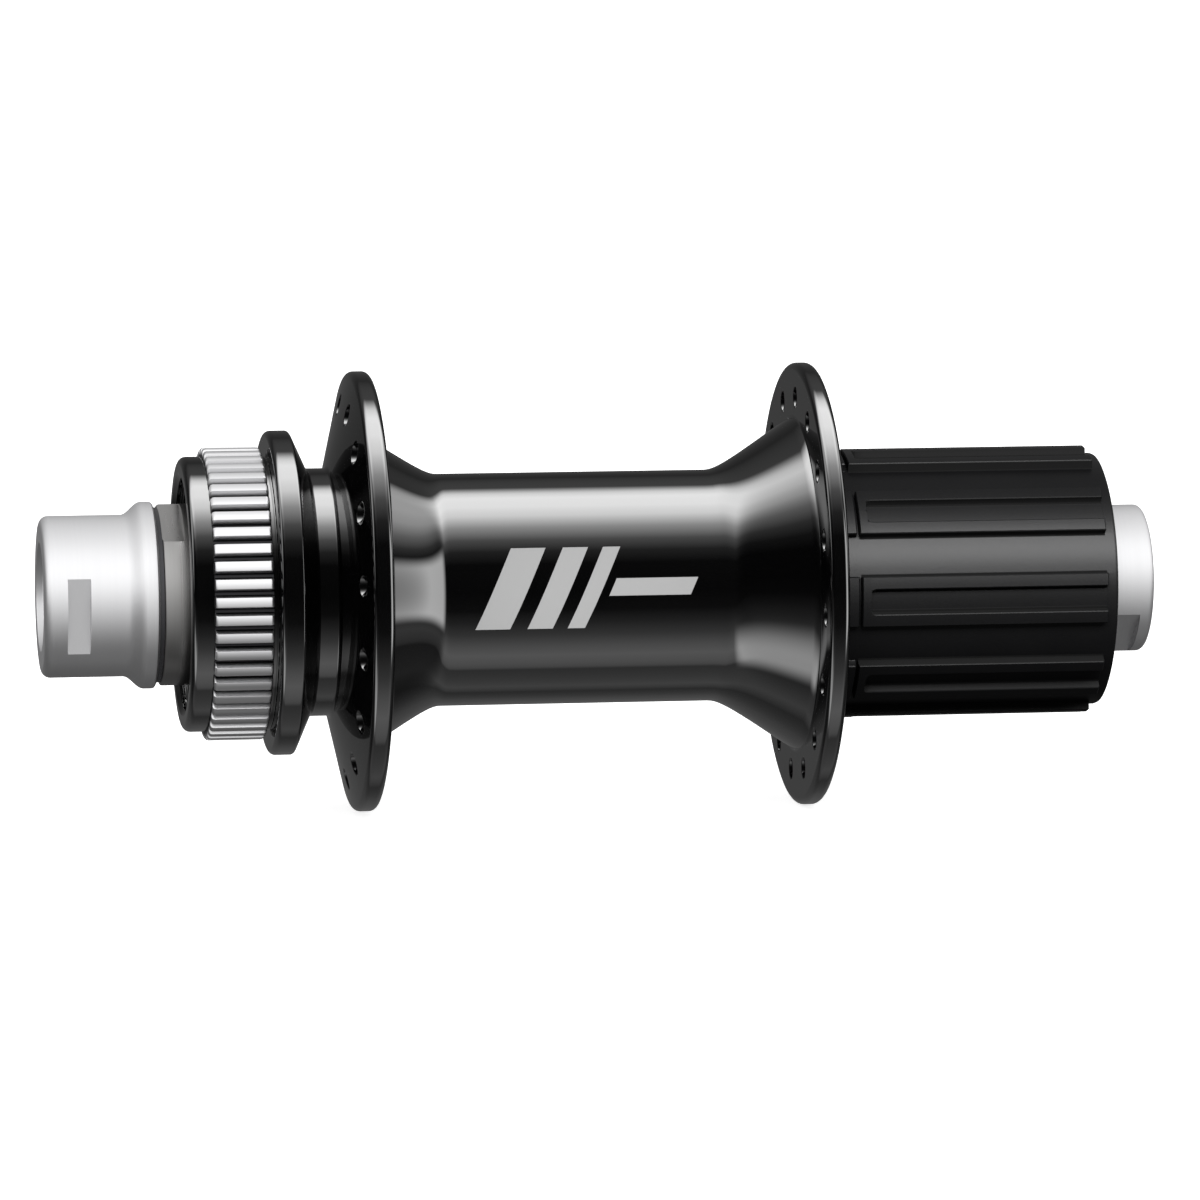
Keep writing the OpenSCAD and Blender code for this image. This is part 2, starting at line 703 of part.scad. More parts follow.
module cassette_carrier() {
    y_collar = y_carrier_end + 1.5;
    y_thread = y_carrier_end + cassette_thread_len;
    y_cage = y_small_right + 0.4 * small_race_r;
    color([0.08, 0.08, 0.085]) difference() {
        turn() difference() {
            polygon([
                [ratchet_tip_r, y_small_left], [carrier_bore_r, y_small_left],
                [carrier_bore_r, y_carrier], [stop_r - edge, y_carrier],
                [stop_r, y_carrier - edge], [stop_r, y_stop], [carrier_r, y_stop],
                [carrier_r, y_pad_end], [groove_r, y_pad_end], [groove_r, y_relief_end],
                [carrier_r, y_relief_end], [carrier_r, y_collar], [groove_r, y_collar],
                [groove_r, y_carrier_end + edge], [groove_r - edge, y_carrier_end],
                [carrier_thread_r, y_carrier_end], [carrier_thread_r, y_thread],
                [carrier_bore_r - 0.25, y_thread], [carrier_bore_r - 0.25, y_cage],
                [ratchet_tip_r, y_cage]]);
            translate([small_pitch_r, y_small_left]) circle(r = small_race_r);
            translate([small_pitch_r, y_small_right]) circle(r = small_race_r);
        }
        carry(y_carrier_end - 1, y_stop) carrier_grooves();
        ridge_slots();
        carry(y_ratchet, y_ratchet_end) ratchet_hole();
    }
}

// ---- Main balls and their retainers ----

left_ball_count = ball_count(left_pitch_r, ball_r, ball_gap);
right_ball_count = ball_count(right_pitch_r, ball_r, ball_gap);

module left_balls() {
    color("silver") ball_ring(left_ball_count, left_pitch_r, y_left_balls, ball_r);
}

module left_ball_retainer() {
    color("tan") retainer(left_ball_count, left_pitch_r, y_left_balls, 1);
}

module right_balls() {
    color("silver") ball_ring(right_ball_count, right_pitch_r, y_right_balls, ball_r);
}

module right_ball_retainer() {
    color("tan") retainer(right_ball_count, right_pitch_r, y_right_balls, -1);
}

axle_tube();
left_end_cap();
left_lock_washer();
left_cone();
left_dust_cover();
right_cone();
right_dust_cover();
right_lock_washer();
right_end_cap();
hub_shell();
left_cup();
left_seal();
freehub_inner_body();
freehub_fixing_bolt();
right_cup();
right_seal();
freehub_seal();
pawl_spring();
freehub_left_balls();
freehub_right_balls();
pawl_1();
pawl_2();
pawl_3();
cassette_carrier();
left_balls();
left_ball_retainer();
right_balls();
right_ball_retainer();
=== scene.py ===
"""Rear bicycle hub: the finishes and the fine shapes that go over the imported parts.

Lengths are metres, +Y is the disc side, +X is forwards and +Z is up.
An angle about the axle is 0 forwards, 90 down and 180 backwards.
"""

import math

import bmesh
import bpy
import numpy as np
from bpy.props import FloatProperty, FloatVectorProperty, IntProperty, PointerProperty
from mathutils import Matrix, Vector


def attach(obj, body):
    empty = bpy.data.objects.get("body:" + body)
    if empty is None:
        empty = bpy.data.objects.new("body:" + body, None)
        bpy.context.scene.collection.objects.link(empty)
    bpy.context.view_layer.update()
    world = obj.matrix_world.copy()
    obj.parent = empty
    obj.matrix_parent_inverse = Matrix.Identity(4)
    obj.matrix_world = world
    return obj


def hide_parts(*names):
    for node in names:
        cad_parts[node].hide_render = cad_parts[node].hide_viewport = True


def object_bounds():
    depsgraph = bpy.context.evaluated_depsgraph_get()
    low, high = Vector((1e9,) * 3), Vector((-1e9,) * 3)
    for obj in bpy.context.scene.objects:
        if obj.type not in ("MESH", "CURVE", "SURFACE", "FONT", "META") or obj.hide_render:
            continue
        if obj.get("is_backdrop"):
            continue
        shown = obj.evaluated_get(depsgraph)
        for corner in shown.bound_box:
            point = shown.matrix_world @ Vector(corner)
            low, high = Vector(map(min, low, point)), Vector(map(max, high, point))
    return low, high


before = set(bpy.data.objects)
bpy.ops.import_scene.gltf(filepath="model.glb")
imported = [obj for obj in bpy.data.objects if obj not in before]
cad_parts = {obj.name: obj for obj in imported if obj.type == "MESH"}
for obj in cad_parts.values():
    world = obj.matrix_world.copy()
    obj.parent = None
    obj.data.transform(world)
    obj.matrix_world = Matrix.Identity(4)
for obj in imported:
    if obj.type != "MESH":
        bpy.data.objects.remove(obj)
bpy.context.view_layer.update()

bl_info = {
    "name": "Rear Bicycle Hub",
    "version": (1, 0, 0),
    "blender": (4, 5, 0),
    "location": "3D View > Sidebar > Hub",
    "description": "Builds a rear hub with a splined disc mount and a splined cassette carrier",
    "category": "Object",
}

MM = 0.001
JOIN = 1.37e-7  # points nearer to each other than this become one point


def length(name, millimetres, description):
    """A size in metres whose default is written in millimetres."""
    metres = millimetres * MM
    return FloatProperty(name=name, description=description, default=metres, unit="LENGTH", precision=5)


def turn_angle(name, degrees, description):
    """An angle about the axle whose default is written in degrees."""
    return FloatProperty(name=name, description=description, default=math.radians(degrees), subtype="ANGLE")


def number(name, count, description):
    """How many there are of something."""
    return IntProperty(name=name, description=description, default=count, min=3)


def tint(name, colour, description):
    """A linear colour."""
    return FloatVectorProperty(
        name=name, description=description, default=colour, size=3, min=0, max=1, subtype="COLOR")


class HubShellSizes(bpy.types.PropertyGroup):
    lip_r: length("Lip", 17.46, "Radius of the plain lip outside the disc splines")
    lip_y: length("Lip face", 53.2, "Station of the lip's outer face")
    spline_y: length("Spline start", 50.4, "Station where the disc splines begin")
    relief_y: length("Spline end", 43.0, "Station where the disc splines end")
    spline_h: length("Spline height", 1.1, "Height of the disc splines above the lip")
    spline_count: number("Splines", 51, "Number of disc splines")
    shoulder_r: length("Shoulder", 20.61, "Radius of the disc shoulder")
    shoulder_y: length("Shoulder face", 42.3, "Station of the shoulder's outer face")
    cone_y: length("Back cone", 39.4, "Station where the shoulder's back begins to slope")
    neck_r: length("Neck", 15.75, "Radius of the neck")
    neck_y: length("Neck start", 37.2, "Station where the neck begins")
    dish_y: length("Dish", 34.5, "Station where the left flange leaves the neck")
    left_r: length("Left flange", 28.0, "Radius of the left flange")
    left_rim_y: length("Left rim", 31.5, "Station of the left rim's outer edge")
    left_inner_y: length("Left inner face", 28.95, "Station of the left flange's inner face")
    left_root_r: length("Left root", 19.2, "Radius where the left flare meets its flange")
    left_flare_y: length("Left flare", 20.35, "Station where the barrel starts to flare to the left")
    right_r: length("Right flange", 28.35, "Radius of the right flange")
    right_inner_y: length("Right inner face", -25.6, "Station of the right flange's inner face")
    right_outer_y: length("Right outer face", -28.1, "Station of the right flange's outer face")
    right_root_r: length("Right root", 21.2, "Radius where the right flare meets its flange")
    right_flare_y: length("Right flare", -14.2, "Station where the barrel starts to flare to the right")
    barrel_r: length("Barrel", 14.8, "Radius of the barrel")
    bore_r: length("Bore", 12.9, "Radius of the bore inside the barrel")
    thread_r: length("Lock ring thread", 14.91, "Radius of the crests of the lock ring thread")
    thread_y: length("Thread end", 46.4, "Station where the lock ring thread ends")
    cup_r: length("Cup seat", 14.41, "Radius of the left bearing's seat")
    cup_y: length("Cup seat end", 39.2, "Station of the seat's inner end")
    wall_y: length("Wall", -16.2, "Station of the inner face of the wall that the freehub is bolted to")
    wall_end_y: length("Wall end", -24.2, "Station of the wall's outer face")
    bolt_r: length("Bolt hole", 9.4, "Radius of the hole through the wall")
    socket_r: length("Freehub socket", 11.25, "Radius of the socket that the freehub's splines sit in")
    boss_r: length("Boss", 14.0, "Radius of the boss on the right flange's outer face")
    boss_y: length("Boss face", -28.9, "Station of the boss's face")
    rim_soft: length("Rim rounding", 0.85, "Rounding of both flanges' edges")
    hole_inset: length("Hole inset", 4.2, "From a flange's edge to the circle of its spoke holes")
    hole_r: length("Spoke hole", 1.3, "Radius of a spoke hole")
    hole_band: length("Hole band", 2.4, "Half width of the band of a flange's face with its spoke holes")
    hole_count: number("Spoke holes", 16, "Spoke holes in one flange")
    hole_phase: turn_angle("Hole phase", 188.7, "Angle of the left flange's first spoke hole")


class AxleEndSizes(bpy.types.PropertyGroup):
    bore_r: length("Bore", 6.1, "Radius of the bore for the through axle")
    tube_r: length("Axle tube", 7.8, "Outer radius of the axle tube")
    tube_y: length("Tube end", 66.5, "Station where the axle tube ends inside both caps")
    end_y: length("End face", 71.0, "Station of both end faces, to the left and to the right")
    left_r: length("Left cap", 10.25, "Radius of the left end cap")
    left_y: length("Left cap start", 56.7, "Station where the left cap meets its washer")
    collar_r: length("Collar", 11.85, "Radius of the left cap's collar")
    right_r: length("Right cap", 9.45, "Radius of the right end cap")
    right_y: length("Right cap start", -64.1, "Station where the right cap meets its washer")
    notch_depth: length("Notch depth", 1.25, "Depth of the spanner notches at their middle")
    notch_w: length("Notch width", 2.8, "Width of the spanner notches along the axle")
    left_notch_in: length("Left notch", 2.9, "From the left end face to its notches")
    right_notch_in: length("Right notch", 1.8, "From the right end face to its notches")
    collar_w: length("Collar width", 1.4, "Width of the left cap's collar along the axle")
    slope_w: length("Slope width", 2.6, "Length of the slope from the collar down to the left cap")
    cone_r: length("Left cone", 11.5, "Radius of the left cone")
    cone_y: length("Left cone end", 56.1, "Station of the left cone's outer face")
    cone_flat: length("Cone flats", 10.3, "Distance of the left cone's flats from the axle")
    cone_flat_y: length("Cone flats' start", 53.3, "Station where the left cone's flats begin")
    race_r: length("Race", 2.03, "Radius of the race that the left main balls run in")
    race_y: length("Left balls", 42.5, "Station of the left main balls")
    left_phase: turn_angle("Left notches", 170.5, "Angle of the left cap's notches")
    right_phase: turn_angle("Right notches", 127.0, "Angle of the right cap's notches")
    cone_phase: turn_angle("Cone flats' angle", 249.0, "Angle of the left cone's flats")


class CarrierSizes(bpy.types.PropertyGroup):
    ridge_r: length("Splines", 17.3, "Radius over the cassette splines")
    groove_r: length("Grooves", 16.2, "Radius of the grooves' floors")
    slot_r: length("Slot floors", 16.3, "Radius of the floors of the slots in the splines")
    stop_r: length("Stop", 17.9, "Radius of the stop that the cassette rests against")
    start_y: length("Inner face", -28.6, "Station of the carrier's inner face")
    stop_y: length("Stop face", -29.85, "Station of the stop's face")
    pad_y: length("Pad end", -31.2, "Station where the short pads end")
    ridge_y: length("Spline start", -31.6, "Station where the splines begin")
    ridge_end_y: length("Spline end", -63.3, "Station where the splines end")
    end_y: length("Outer face", -64.8, "Station of the carrier's outer face")
    slot_y: length("Slot end", -32.7, "Station of the slots' inner ends")
    slot_w: length("Slot width", 3.2, "Width of the slots in the splines")
    ridge_count: number("Splines", 9, "Number of cassette splines")
    ridge_half: turn_angle("Half spline", 10.75, "Half of the angle that a spline covers")
    ridge_phase: turn_angle("Spline phase", 178.6, "Angle of the first spline's middle")
    thread_r: length("Lock ring thread", 14.94, "Radius of the crests of the lock ring thread")
    thread_y: length("Thread end", -56.4, "Station where the lock ring thread ends")
    bore_r: length("Bore", 14.64, "Radius of the bore")
    ratchet_r: length("Ratchet tips", 13.35, "Radius of the tips of the ratchet's teeth")
    ratchet_root_r: length("Ratchet roots", 14.4, "Radius of the roots of the ratchet's teeth")
    ratchet_y: length("Ratchet start", -36.04, "Station where the ratchet begins")
    ratchet_end_y: length("Ratchet end", -42.44, "Station where the ratchet ends")
    ratchet_count: number("Ratchet teeth", 36, "Number of ratchet teeth")
    small_pitch_r: length("Small ball circle", 13.0, "Radius of the circle of the carrier's own balls")
    small_race_r: length("Small race", 1.64, "Radius of the race that the carrier's own balls run in")
    small_left_y: length("Left small balls", -32.6, "Station of the left row of small balls")
    small_right_y: length("Right small balls", -54.0, "Station of the right row of small balls")


class HubColours(bpy.types.PropertyGroup):
    black_anodised: tint("Black anodising", (0.001, 0.001, 0.0011), "Hub shell")
    mark: tint("Printed mark", (0.34, 0.34, 0.34), "Plain bars printed on the barrel")
    satin_aluminium: tint("Satin aluminium", (0.80, 0.80, 0.81), "End caps and disc splines")
    # painted shade: the colour that the disc splines darken to at their roots
    spline_root_shade: tint("Spline roots", (0.03, 0.03, 0.032), "Roots between the disc splines")
    carrier_face: tint("Carrier", (0.0005, 0.0005, 0.00055), "Tops and floors of the cassette splines")
    # painted shade: the dark colour put beside the walls of the splines and slots
    carrier_wall_shade: tint("Carrier walls", (0.0001, 0.0001, 0.0001), "Beside the walls of the splines and slots")
    ground_steel: tint("Ground steel", (0.36, 0.355, 0.35), "Cones and cups")
    dark_steel: tint("Dark steel", (0.07, 0.07, 0.075), "Washers and bolt")
    ball_steel: tint("Ball steel", (0.72, 0.72, 0.73), "Balls")
    retainer_steel: tint("Retainer steel", (0.48, 0.42, 0.32), "Ball retainers")
    seal_rubber: tint("Seal rubber", (0.018, 0.018, 0.018), "Seals")
    cover_plastic: tint("Cover plastic", (0.014, 0.014, 0.015), "Dust covers")
    floor: tint("Floor", (0.9, 0.9, 0.9), "Floor")


# ---- Surfaces ----


def around(radius, station, angle):
    """Points at a radius from the axle, a station along it and an angle about it:
    X is radius times cosine, Y is the station and Z is minus radius times sine."""
    radius, station, angle = np.broadcast_arrays(radius, station, angle)
    return np.stack((radius * np.cos(angle), station, -radius * np.sin(angle)), -1)


def even_angles(count, start=0.0):
    """Equal steps that go once round."""
    return start + np.arange(count) * 2 * np.pi / count


def rounded(corners, steps=4, lead=0.06 * MM):
    """An open outline of (radius, station, rounding in millimetres) corners. A corner with a
    rounding becomes an arc that touches both of its sides: the conic (1-s)^2 A + 2 w s (1-s) C + s^2 B
    over the same sum of weights, with w the sine of half of the corner. A lead point a little way
    along each side keeps the sides flat in the light."""
    corners = np.array(corners, float)
    point, rounding = corners[:, :2], corners[:, 2] * MM
    rounding[[0, -1]] = 0
    before, after = np.roll(point, 1, 0) - point, np.roll(point, -1, 0) - point
    side_a, side_b = (np.maximum(np.linalg.norm(v, axis=1), 1e-9) for v in (before, after))
    u, v = before / side_a[:, None], after / side_b[:, None]
    half = np.arccos(np.clip((u * v).sum(1), -1, 1)) / 2
    room = 0.45 * np.minimum(side_a, side_b)
    reach = np.minimum(rounding / np.maximum(np.tan(half), 1e-3), room)
    s = np.linspace(0, 1, steps + 1)[None, :, None]
    weight = np.sin(half)[:, None, None]
    first, last = (point + d * reach[:, None] for d in (u, v))
    parts = (1 - s) ** 2, 2 * weight * s * (1 - s), s**2
    arc = sum(p * q[:, None] for p, q in zip(parts, (first, point, last))) / sum(parts)
    out = np.minimum(reach + lead, room * 1.05)
    row = np.concatenate(((point + u * out[:, None])[:, None], arc, (point + v * out[:, None])[:, None]), 1)
    keep = np.ones(row.shape[:2], bool)
    keep[rounding == 0] = False
    keep[rounding == 0, 1] = True
    return row[keep]


class Skin:
    """Patches of points that become one closed mesh when the points that they share are joined."""

    def __init__(self):
        self.points, self.faces, self.count = [], [], 0

    def patch(self, points, closed_rows=False, closed_columns=False):
        """Adds grids of points, whose last three axes are rows, columns and X Y Z, with a four-cornered
        face between each two neighbouring rows and columns."""
        rows, columns = points.shape[-3:-1]
        index = np.arange(rows * columns).reshape(rows, columns)
        if closed_rows:
            index = np.concatenate((index, index[:1]))
        if closed_columns:
            index = np.concatenate((index, index[:, :1]), 1)
        quads = np.stack((index[:-1, :-1], index[1:, :-1], index[1:, 1:], index[:-1, 1:]), -1).reshape(-1, 4)
        grids = points.reshape(-1, 3)
        starts = self.count + rows * columns * np.arange(len(grids) // (rows * columns))
        self.faces.append((quads[None] + starts[:, None, None]).reshape(-1, 4))
        self.points.append(grids)
        self.count += len(grids)

    def piece(self, name, finish, body, slot, replaces=(), crease=35.0):
        """Joins shared points, drops faces with no area, turns every face outwards and makes the
        object, which rides on a body. Edges that turn by more than the crease angle stay sharp."""
        points = np.concatenate(self.points)
        cells = np.round(points / JOIN).astype(np.int64)
        _, first, joined = np.unique(cells, axis=0, return_index=True, return_inverse=True)
        faces = joined.reshape(-1)[np.concatenate(self.faces)]
        # a corner that repeats the next one is left out: the face becomes a triangle, or goes if two do
        alike = faces == np.roll(faces, -1, 1)
        solid = alike.sum(1) < 2
        faces, alike = faces[solid], alike[solid]
        sides = 4 - alike.sum(1)
        corners = faces[~alike]
        mesh = bpy.data.meshes.new(name)
        mesh.vertices.add(len(first))
        mesh.vertices.foreach_set("co", points[first].astype(np.float32).ravel())
        mesh.loops.add(len(corners))
        mesh.loops.foreach_set("vertex_index", corners.astype(np.int32))
        mesh.polygons.add(len(faces))
        mesh.polygons.foreach_set("loop_start", np.concatenate(([0], np.cumsum(sides)[:-1])).astype(np.int32))
        mesh.update(calc_edges=True)
        work = bmesh.new()
        work.from_mesh(mesh)
        bmesh.ops.recalc_face_normals(work, faces=work.faces)
        work.to_mesh(mesh)
        work.free()
        mesh.shade_smooth()
        mesh.set_sharp_from_angle(angle=math.radians(crease))
        mesh.materials.append(finish)
        obj = bpy.data.objects.new(name, mesh)
        bpy.context.scene.collection.objects.link(obj)
        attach(obj, body)
        if replaces:
            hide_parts(*replaces)
        return obj


def thread(crest_r, depth, pitch, y_from, y_to, angle, rows_per_turn=6):
    """A screw thread inside a bore: the radius is the crest's plus a rounded wave of
    (station - pitch x angle / full turn) / pitch, and the wave fades out at both ends."""
    rows = int(round(abs(y_to - y_from) / pitch * rows_per_turn)) + 1
    station = np.linspace(y_from, y_to, rows)[:, None]
    turn = (station - pitch * angle / (2 * np.pi)) / pitch
    inset = np.minimum(abs(station - y_from), abs(station - y_to)) / pitch
    fade = np.clip(inset / 0.7, 0, 1)
    wave = (0.5 + 0.5 * np.cos(2 * np.pi * turn)) ** 1.5
    return around(crest_r + depth * fade * wave, station, angle)


def flare(s, rise, y_barrel, y_flange, steps=22):
    """Leaves the barrel along a short curve and goes on as a cone: radius = barrel + rise x
    (sqrt(t^2 + c^2) - c) / (sqrt(1 + c^2) - c), where c is the curve's share."""
    t = np.linspace(0, 1, steps)
    c = 0.2
    climb = (np.hypot(t, c) - c) / (math.hypot(1, c) - c)
    return np.stack((s.barrel_r + rise * climb, y_barrel + (y_flange - y_barrel) * t), 1)


def spoke_sectors(s, circle_r, phase, band, outer_y, inner_y, columns):
    """One patch for each spoke hole. It starts on the outer face at the border of the hole's own
    sector, narrows to the hole, runs through it over two small roundings and widens on the inner
    face. Borders are straight in radius and angle, so that neighbouring patches share their points."""
    half = np.pi / s.hole_count
    sides = 6
    across = np.linspace(-half, half, columns + 1)[:-1]
    upright = np.linspace(-band, band, sides + 1)[:-1]
    edge = np.concatenate((across, np.full(sides, half), -across, np.full(sides, -half)))
    rise = np.concatenate((np.full(columns, -band), upright, np.full(columns, band), -upright))
    border = np.stack(((circle_r + rise) * np.cos(edge), (circle_r + rise) * np.sin(edge)), -1)
    spread = border - (circle_r, 0)
    gap = np.linalg.norm(spread, axis=1)
    spread /= gap[:, None]
    soft = 0.22 * MM
    share = np.array([1, 0.5, 0, 0, 0, 0])
    widen = np.array([0, 0, soft + 0.06 * MM, soft, 0.293 * soft, 0])
    depth = np.array([0, 0, 0, 0, 0.293 * soft, soft])
    share, widen, depth = (np.concatenate((row, row[::-1]))[:, None] for row in (share, widen, depth))
    side = (np.arange(12) < 6)[:, None]
    away = s.hole_r + widen + (gap - s.hole_r) * share
    u, v = circle_r + away * spread[:, 0], away * spread[:, 1]
    local_r = np.hypot(u, v)
    station = np.where(side, outer_y(local_r), inner_y(local_r))
    station = station + np.where(side, -depth, depth) * np.sign(outer_y(circle_r) - inner_y(circle_r))
    angle = np.arctan2(v, u) + phase + even_angles(s.hole_count)[:, None, None]
    return around(local_r, station, angle)


def shell_skin(s):
    """The outline of the shell carried round the axle, apart from a band in each flange face that
    is made of the sectors around the spoke holes."""
    per_hole = 16
    angle = even_angles(s.hole_count * per_hole, s.hole_phase)
    slope = (s.left_rim_y - s.dish_y) / (s.left_r - s.neck_r)
    dish = lambda r: s.dish_y + slope * (r - s.neck_r)
    level = lambda y: lambda r: y + 0 * r
    left_circle, right_circle = s.left_r - s.hole_inset, s.right_r - s.hole_inset
    low, high = left_circle - s.hole_band, left_circle + s.hole_band
    right_low, right_high = right_circle - s.hole_band, right_circle + s.hole_band
    relief_r = s.lip_r - 0.15 * MM
    chamfer = 0.5 * MM
    disc_side = rounded([
        (low, dish(low), 0), (s.neck_r, s.dish_y, 0.5), (s.neck_r, s.neck_y, 0.5),
        (s.shoulder_r, s.cone_y, 0.45), (s.shoulder_r, s.shoulder_y, 0.75), (relief_r, s.shoulder_y, 0.1),
        (relief_r, s.relief_y, 0.06), (s.lip_r, s.relief_y, 0.06), (s.lip_r, s.lip_y, 0.9),
        (s.thread_r + chamfer, s.lip_y, 0.12), (s.thread_r, s.lip_y - chamfer, 0)], steps=5)
    bored = rounded([
        (s.thread_r, s.thread_y, 0), (s.cup_r, s.thread_y, 0), (s.cup_r, s.cup_y, 0), (s.bore_r, s.cup_y, 0),
        (s.bore_r, 12 * MM, 0), (s.bore_r, s.wall_y, 0), (s.bolt_r, s.wall_y, 0), (s.bolt_r, s.wall_end_y, 0),
        (s.socket_r, s.wall_end_y, 0), (s.socket_r, s.boss_y, 0.1), (s.boss_r, s.boss_y, 0.15),
        (s.boss_r, s.right_outer_y, 0.1), (right_low, s.right_outer_y, 0)], steps=2)
    soft = s.rim_soft / MM
    left_rim = rounded([
        (high, dish(high), 0), (s.left_r, s.left_rim_y, soft), (s.left_r, s.left_inner_y, soft),
        (high, s.left_inner_y, 0)], steps=6)
    right_rim = rounded([
        (right_high, s.right_inner_y, 0), (s.right_r, s.right_inner_y, soft),
        (s.right_r, s.right_outer_y, soft), (right_high, s.right_outer_y, 0)], steps=6)
    gap = 0.35 * MM
    left_flare = flare(s, s.left_root_r - s.barrel_r, s.left_flare_y, s.left_inner_y - gap)
    right_flare = flare(s, s.right_root_r - s.barrel_r, s.right_flare_y, s.right_inner_y + gap)
    straight = np.linspace(s.left_flare_y - 1 * MM, s.right_flare_y + 1 * MM, 9)
    barrel = np.concatenate((
        [[low, s.left_inner_y], [s.left_root_r + 0.22 * MM, s.left_inner_y],
         [s.left_root_r + 0.1 * MM, s.left_inner_y - 0.05 * MM]],
        left_flare[::-1],
        np.stack((np.full_like(straight, s.barrel_r), straight), 1),
        right_flare,
        [[s.right_root_r + 0.12 * MM, s.right_inner_y + 0.06 * MM],
         [s.right_root_r + 0.3 * MM, s.right_inner_y], [right_low, s.right_inner_y]]))
    skin = Skin()
    for line in (disc_side, bored, left_rim, right_rim, barrel):
        skin.patch(around(line[:, :1], line[:, 1:], angle), closed_columns=True)
    screw = thread(s.thread_r, 0.38 * MM, 1.0 * MM, disc_side[-1, 1], s.thread_y, angle)
    skin.patch(screw, closed_columns=True)
    half_hole = np.pi / s.hole_count
    for circle, phase, outer, inner in (
            (left_circle, s.hole_phase, dish, level(s.left_inner_y)),
            (right_circle, s.hole_phase + half_hole, level(s.right_outer_y), level(s.right_inner_y))):
        skin.patch(spoke_sectors(s, circle, phase, s.hole_band, outer, inner, per_hole), closed_columns=True)
    return skin


def spline_skin(s):
    """The ring of disc splines: at each angle the radius follows one tooth's outline, which is a
    table of height against the share of a pitch, and both ends are a little rounded."""
    # share of a pitch from the tooth's middle, height in a tooth that is 1.1 high
    flank = np.array([
        (0.46, 0), (0.425, 0.01), (0.395, 0.06), (0.37, 0.2), (0.285, 0.93), (0.262, 1.07), (0.235, 1.1)])
    share = np.concatenate(([-0.5], -flank[:, 0], [0], flank[::-1, 0]))
    height = np.concatenate(([0], flank[:, 1], [1.1], flank[::-1, 1])) / 1.1
    angle = (even_angles(s.spline_count)[:, None] + share * 2 * np.pi / s.spline_count).reshape(-1)
    tooth = np.tile(height, s.spline_count)
    root = s.lip_r + 0.03 * MM
    inside = s.lip_r - 0.3 * MM
    y_a, y_b = s.spline_y, s.relief_y
    # share of the height, distance in millimetres from the end of the tooth
    ends = np.array([[0, 0], [0.62, 0], [0.8, 0.06], [0.94, 0.2], [1, 0.42], [1, 0.5]])
    grow = np.concatenate((ends[:, 0], [1], ends[::-1, 0]))[:, None]
    inward = ends[:, 1] * MM
    station = np.concatenate((y_a - inward, [(y_a + y_b) / 2], y_b + inward[::-1]))[:, None]
    radius = root + s.spline_h * tooth * grow
    inner_a, inner_b = around(inside, y_a, angle)[None], around(inside, y_b, angle)[None]
    skin = Skin()
    skin.patch(np.concatenate((inner_a, around(radius, station, angle), inner_b)), True, True)
    return skin


def notched_skin(line, phase, flat, y_low, y_high, columns=192):
    """An outline carried round the axle. Between two stations the radius is the lesser of the
    outline's and flat / |cos(angle - phase)|, which is two opposite flats."""
    edge = math.acos(flat / line[(line[:, 1] >= y_low) & (line[:, 1] <= y_high), 0].max())
    borders = phase + np.array([-edge, edge, np.pi - edge, np.pi + edge])
    angle = even_angles(columns, phase)
    apart = abs(np.angle(np.exp(1j * (angle[:, None] - borders)))).min(1)
    angle = np.sort(np.mod(np.concatenate((angle[apart > 0.3 * 2 * np.pi / columns], borders)), 2 * np.pi))
    radius, station = line[:, :1], line[:, 1:]
    cut = (station >= y_low) & (station <= y_high)
    radius = np.where(cut, np.minimum(radius, flat / np.maximum(abs(np.cos(angle - phase)), 0.1)), radius)
    skin = Skin()
    skin.patch(around(radius, station, angle), closed_rows=True, closed_columns=True)
    return skin


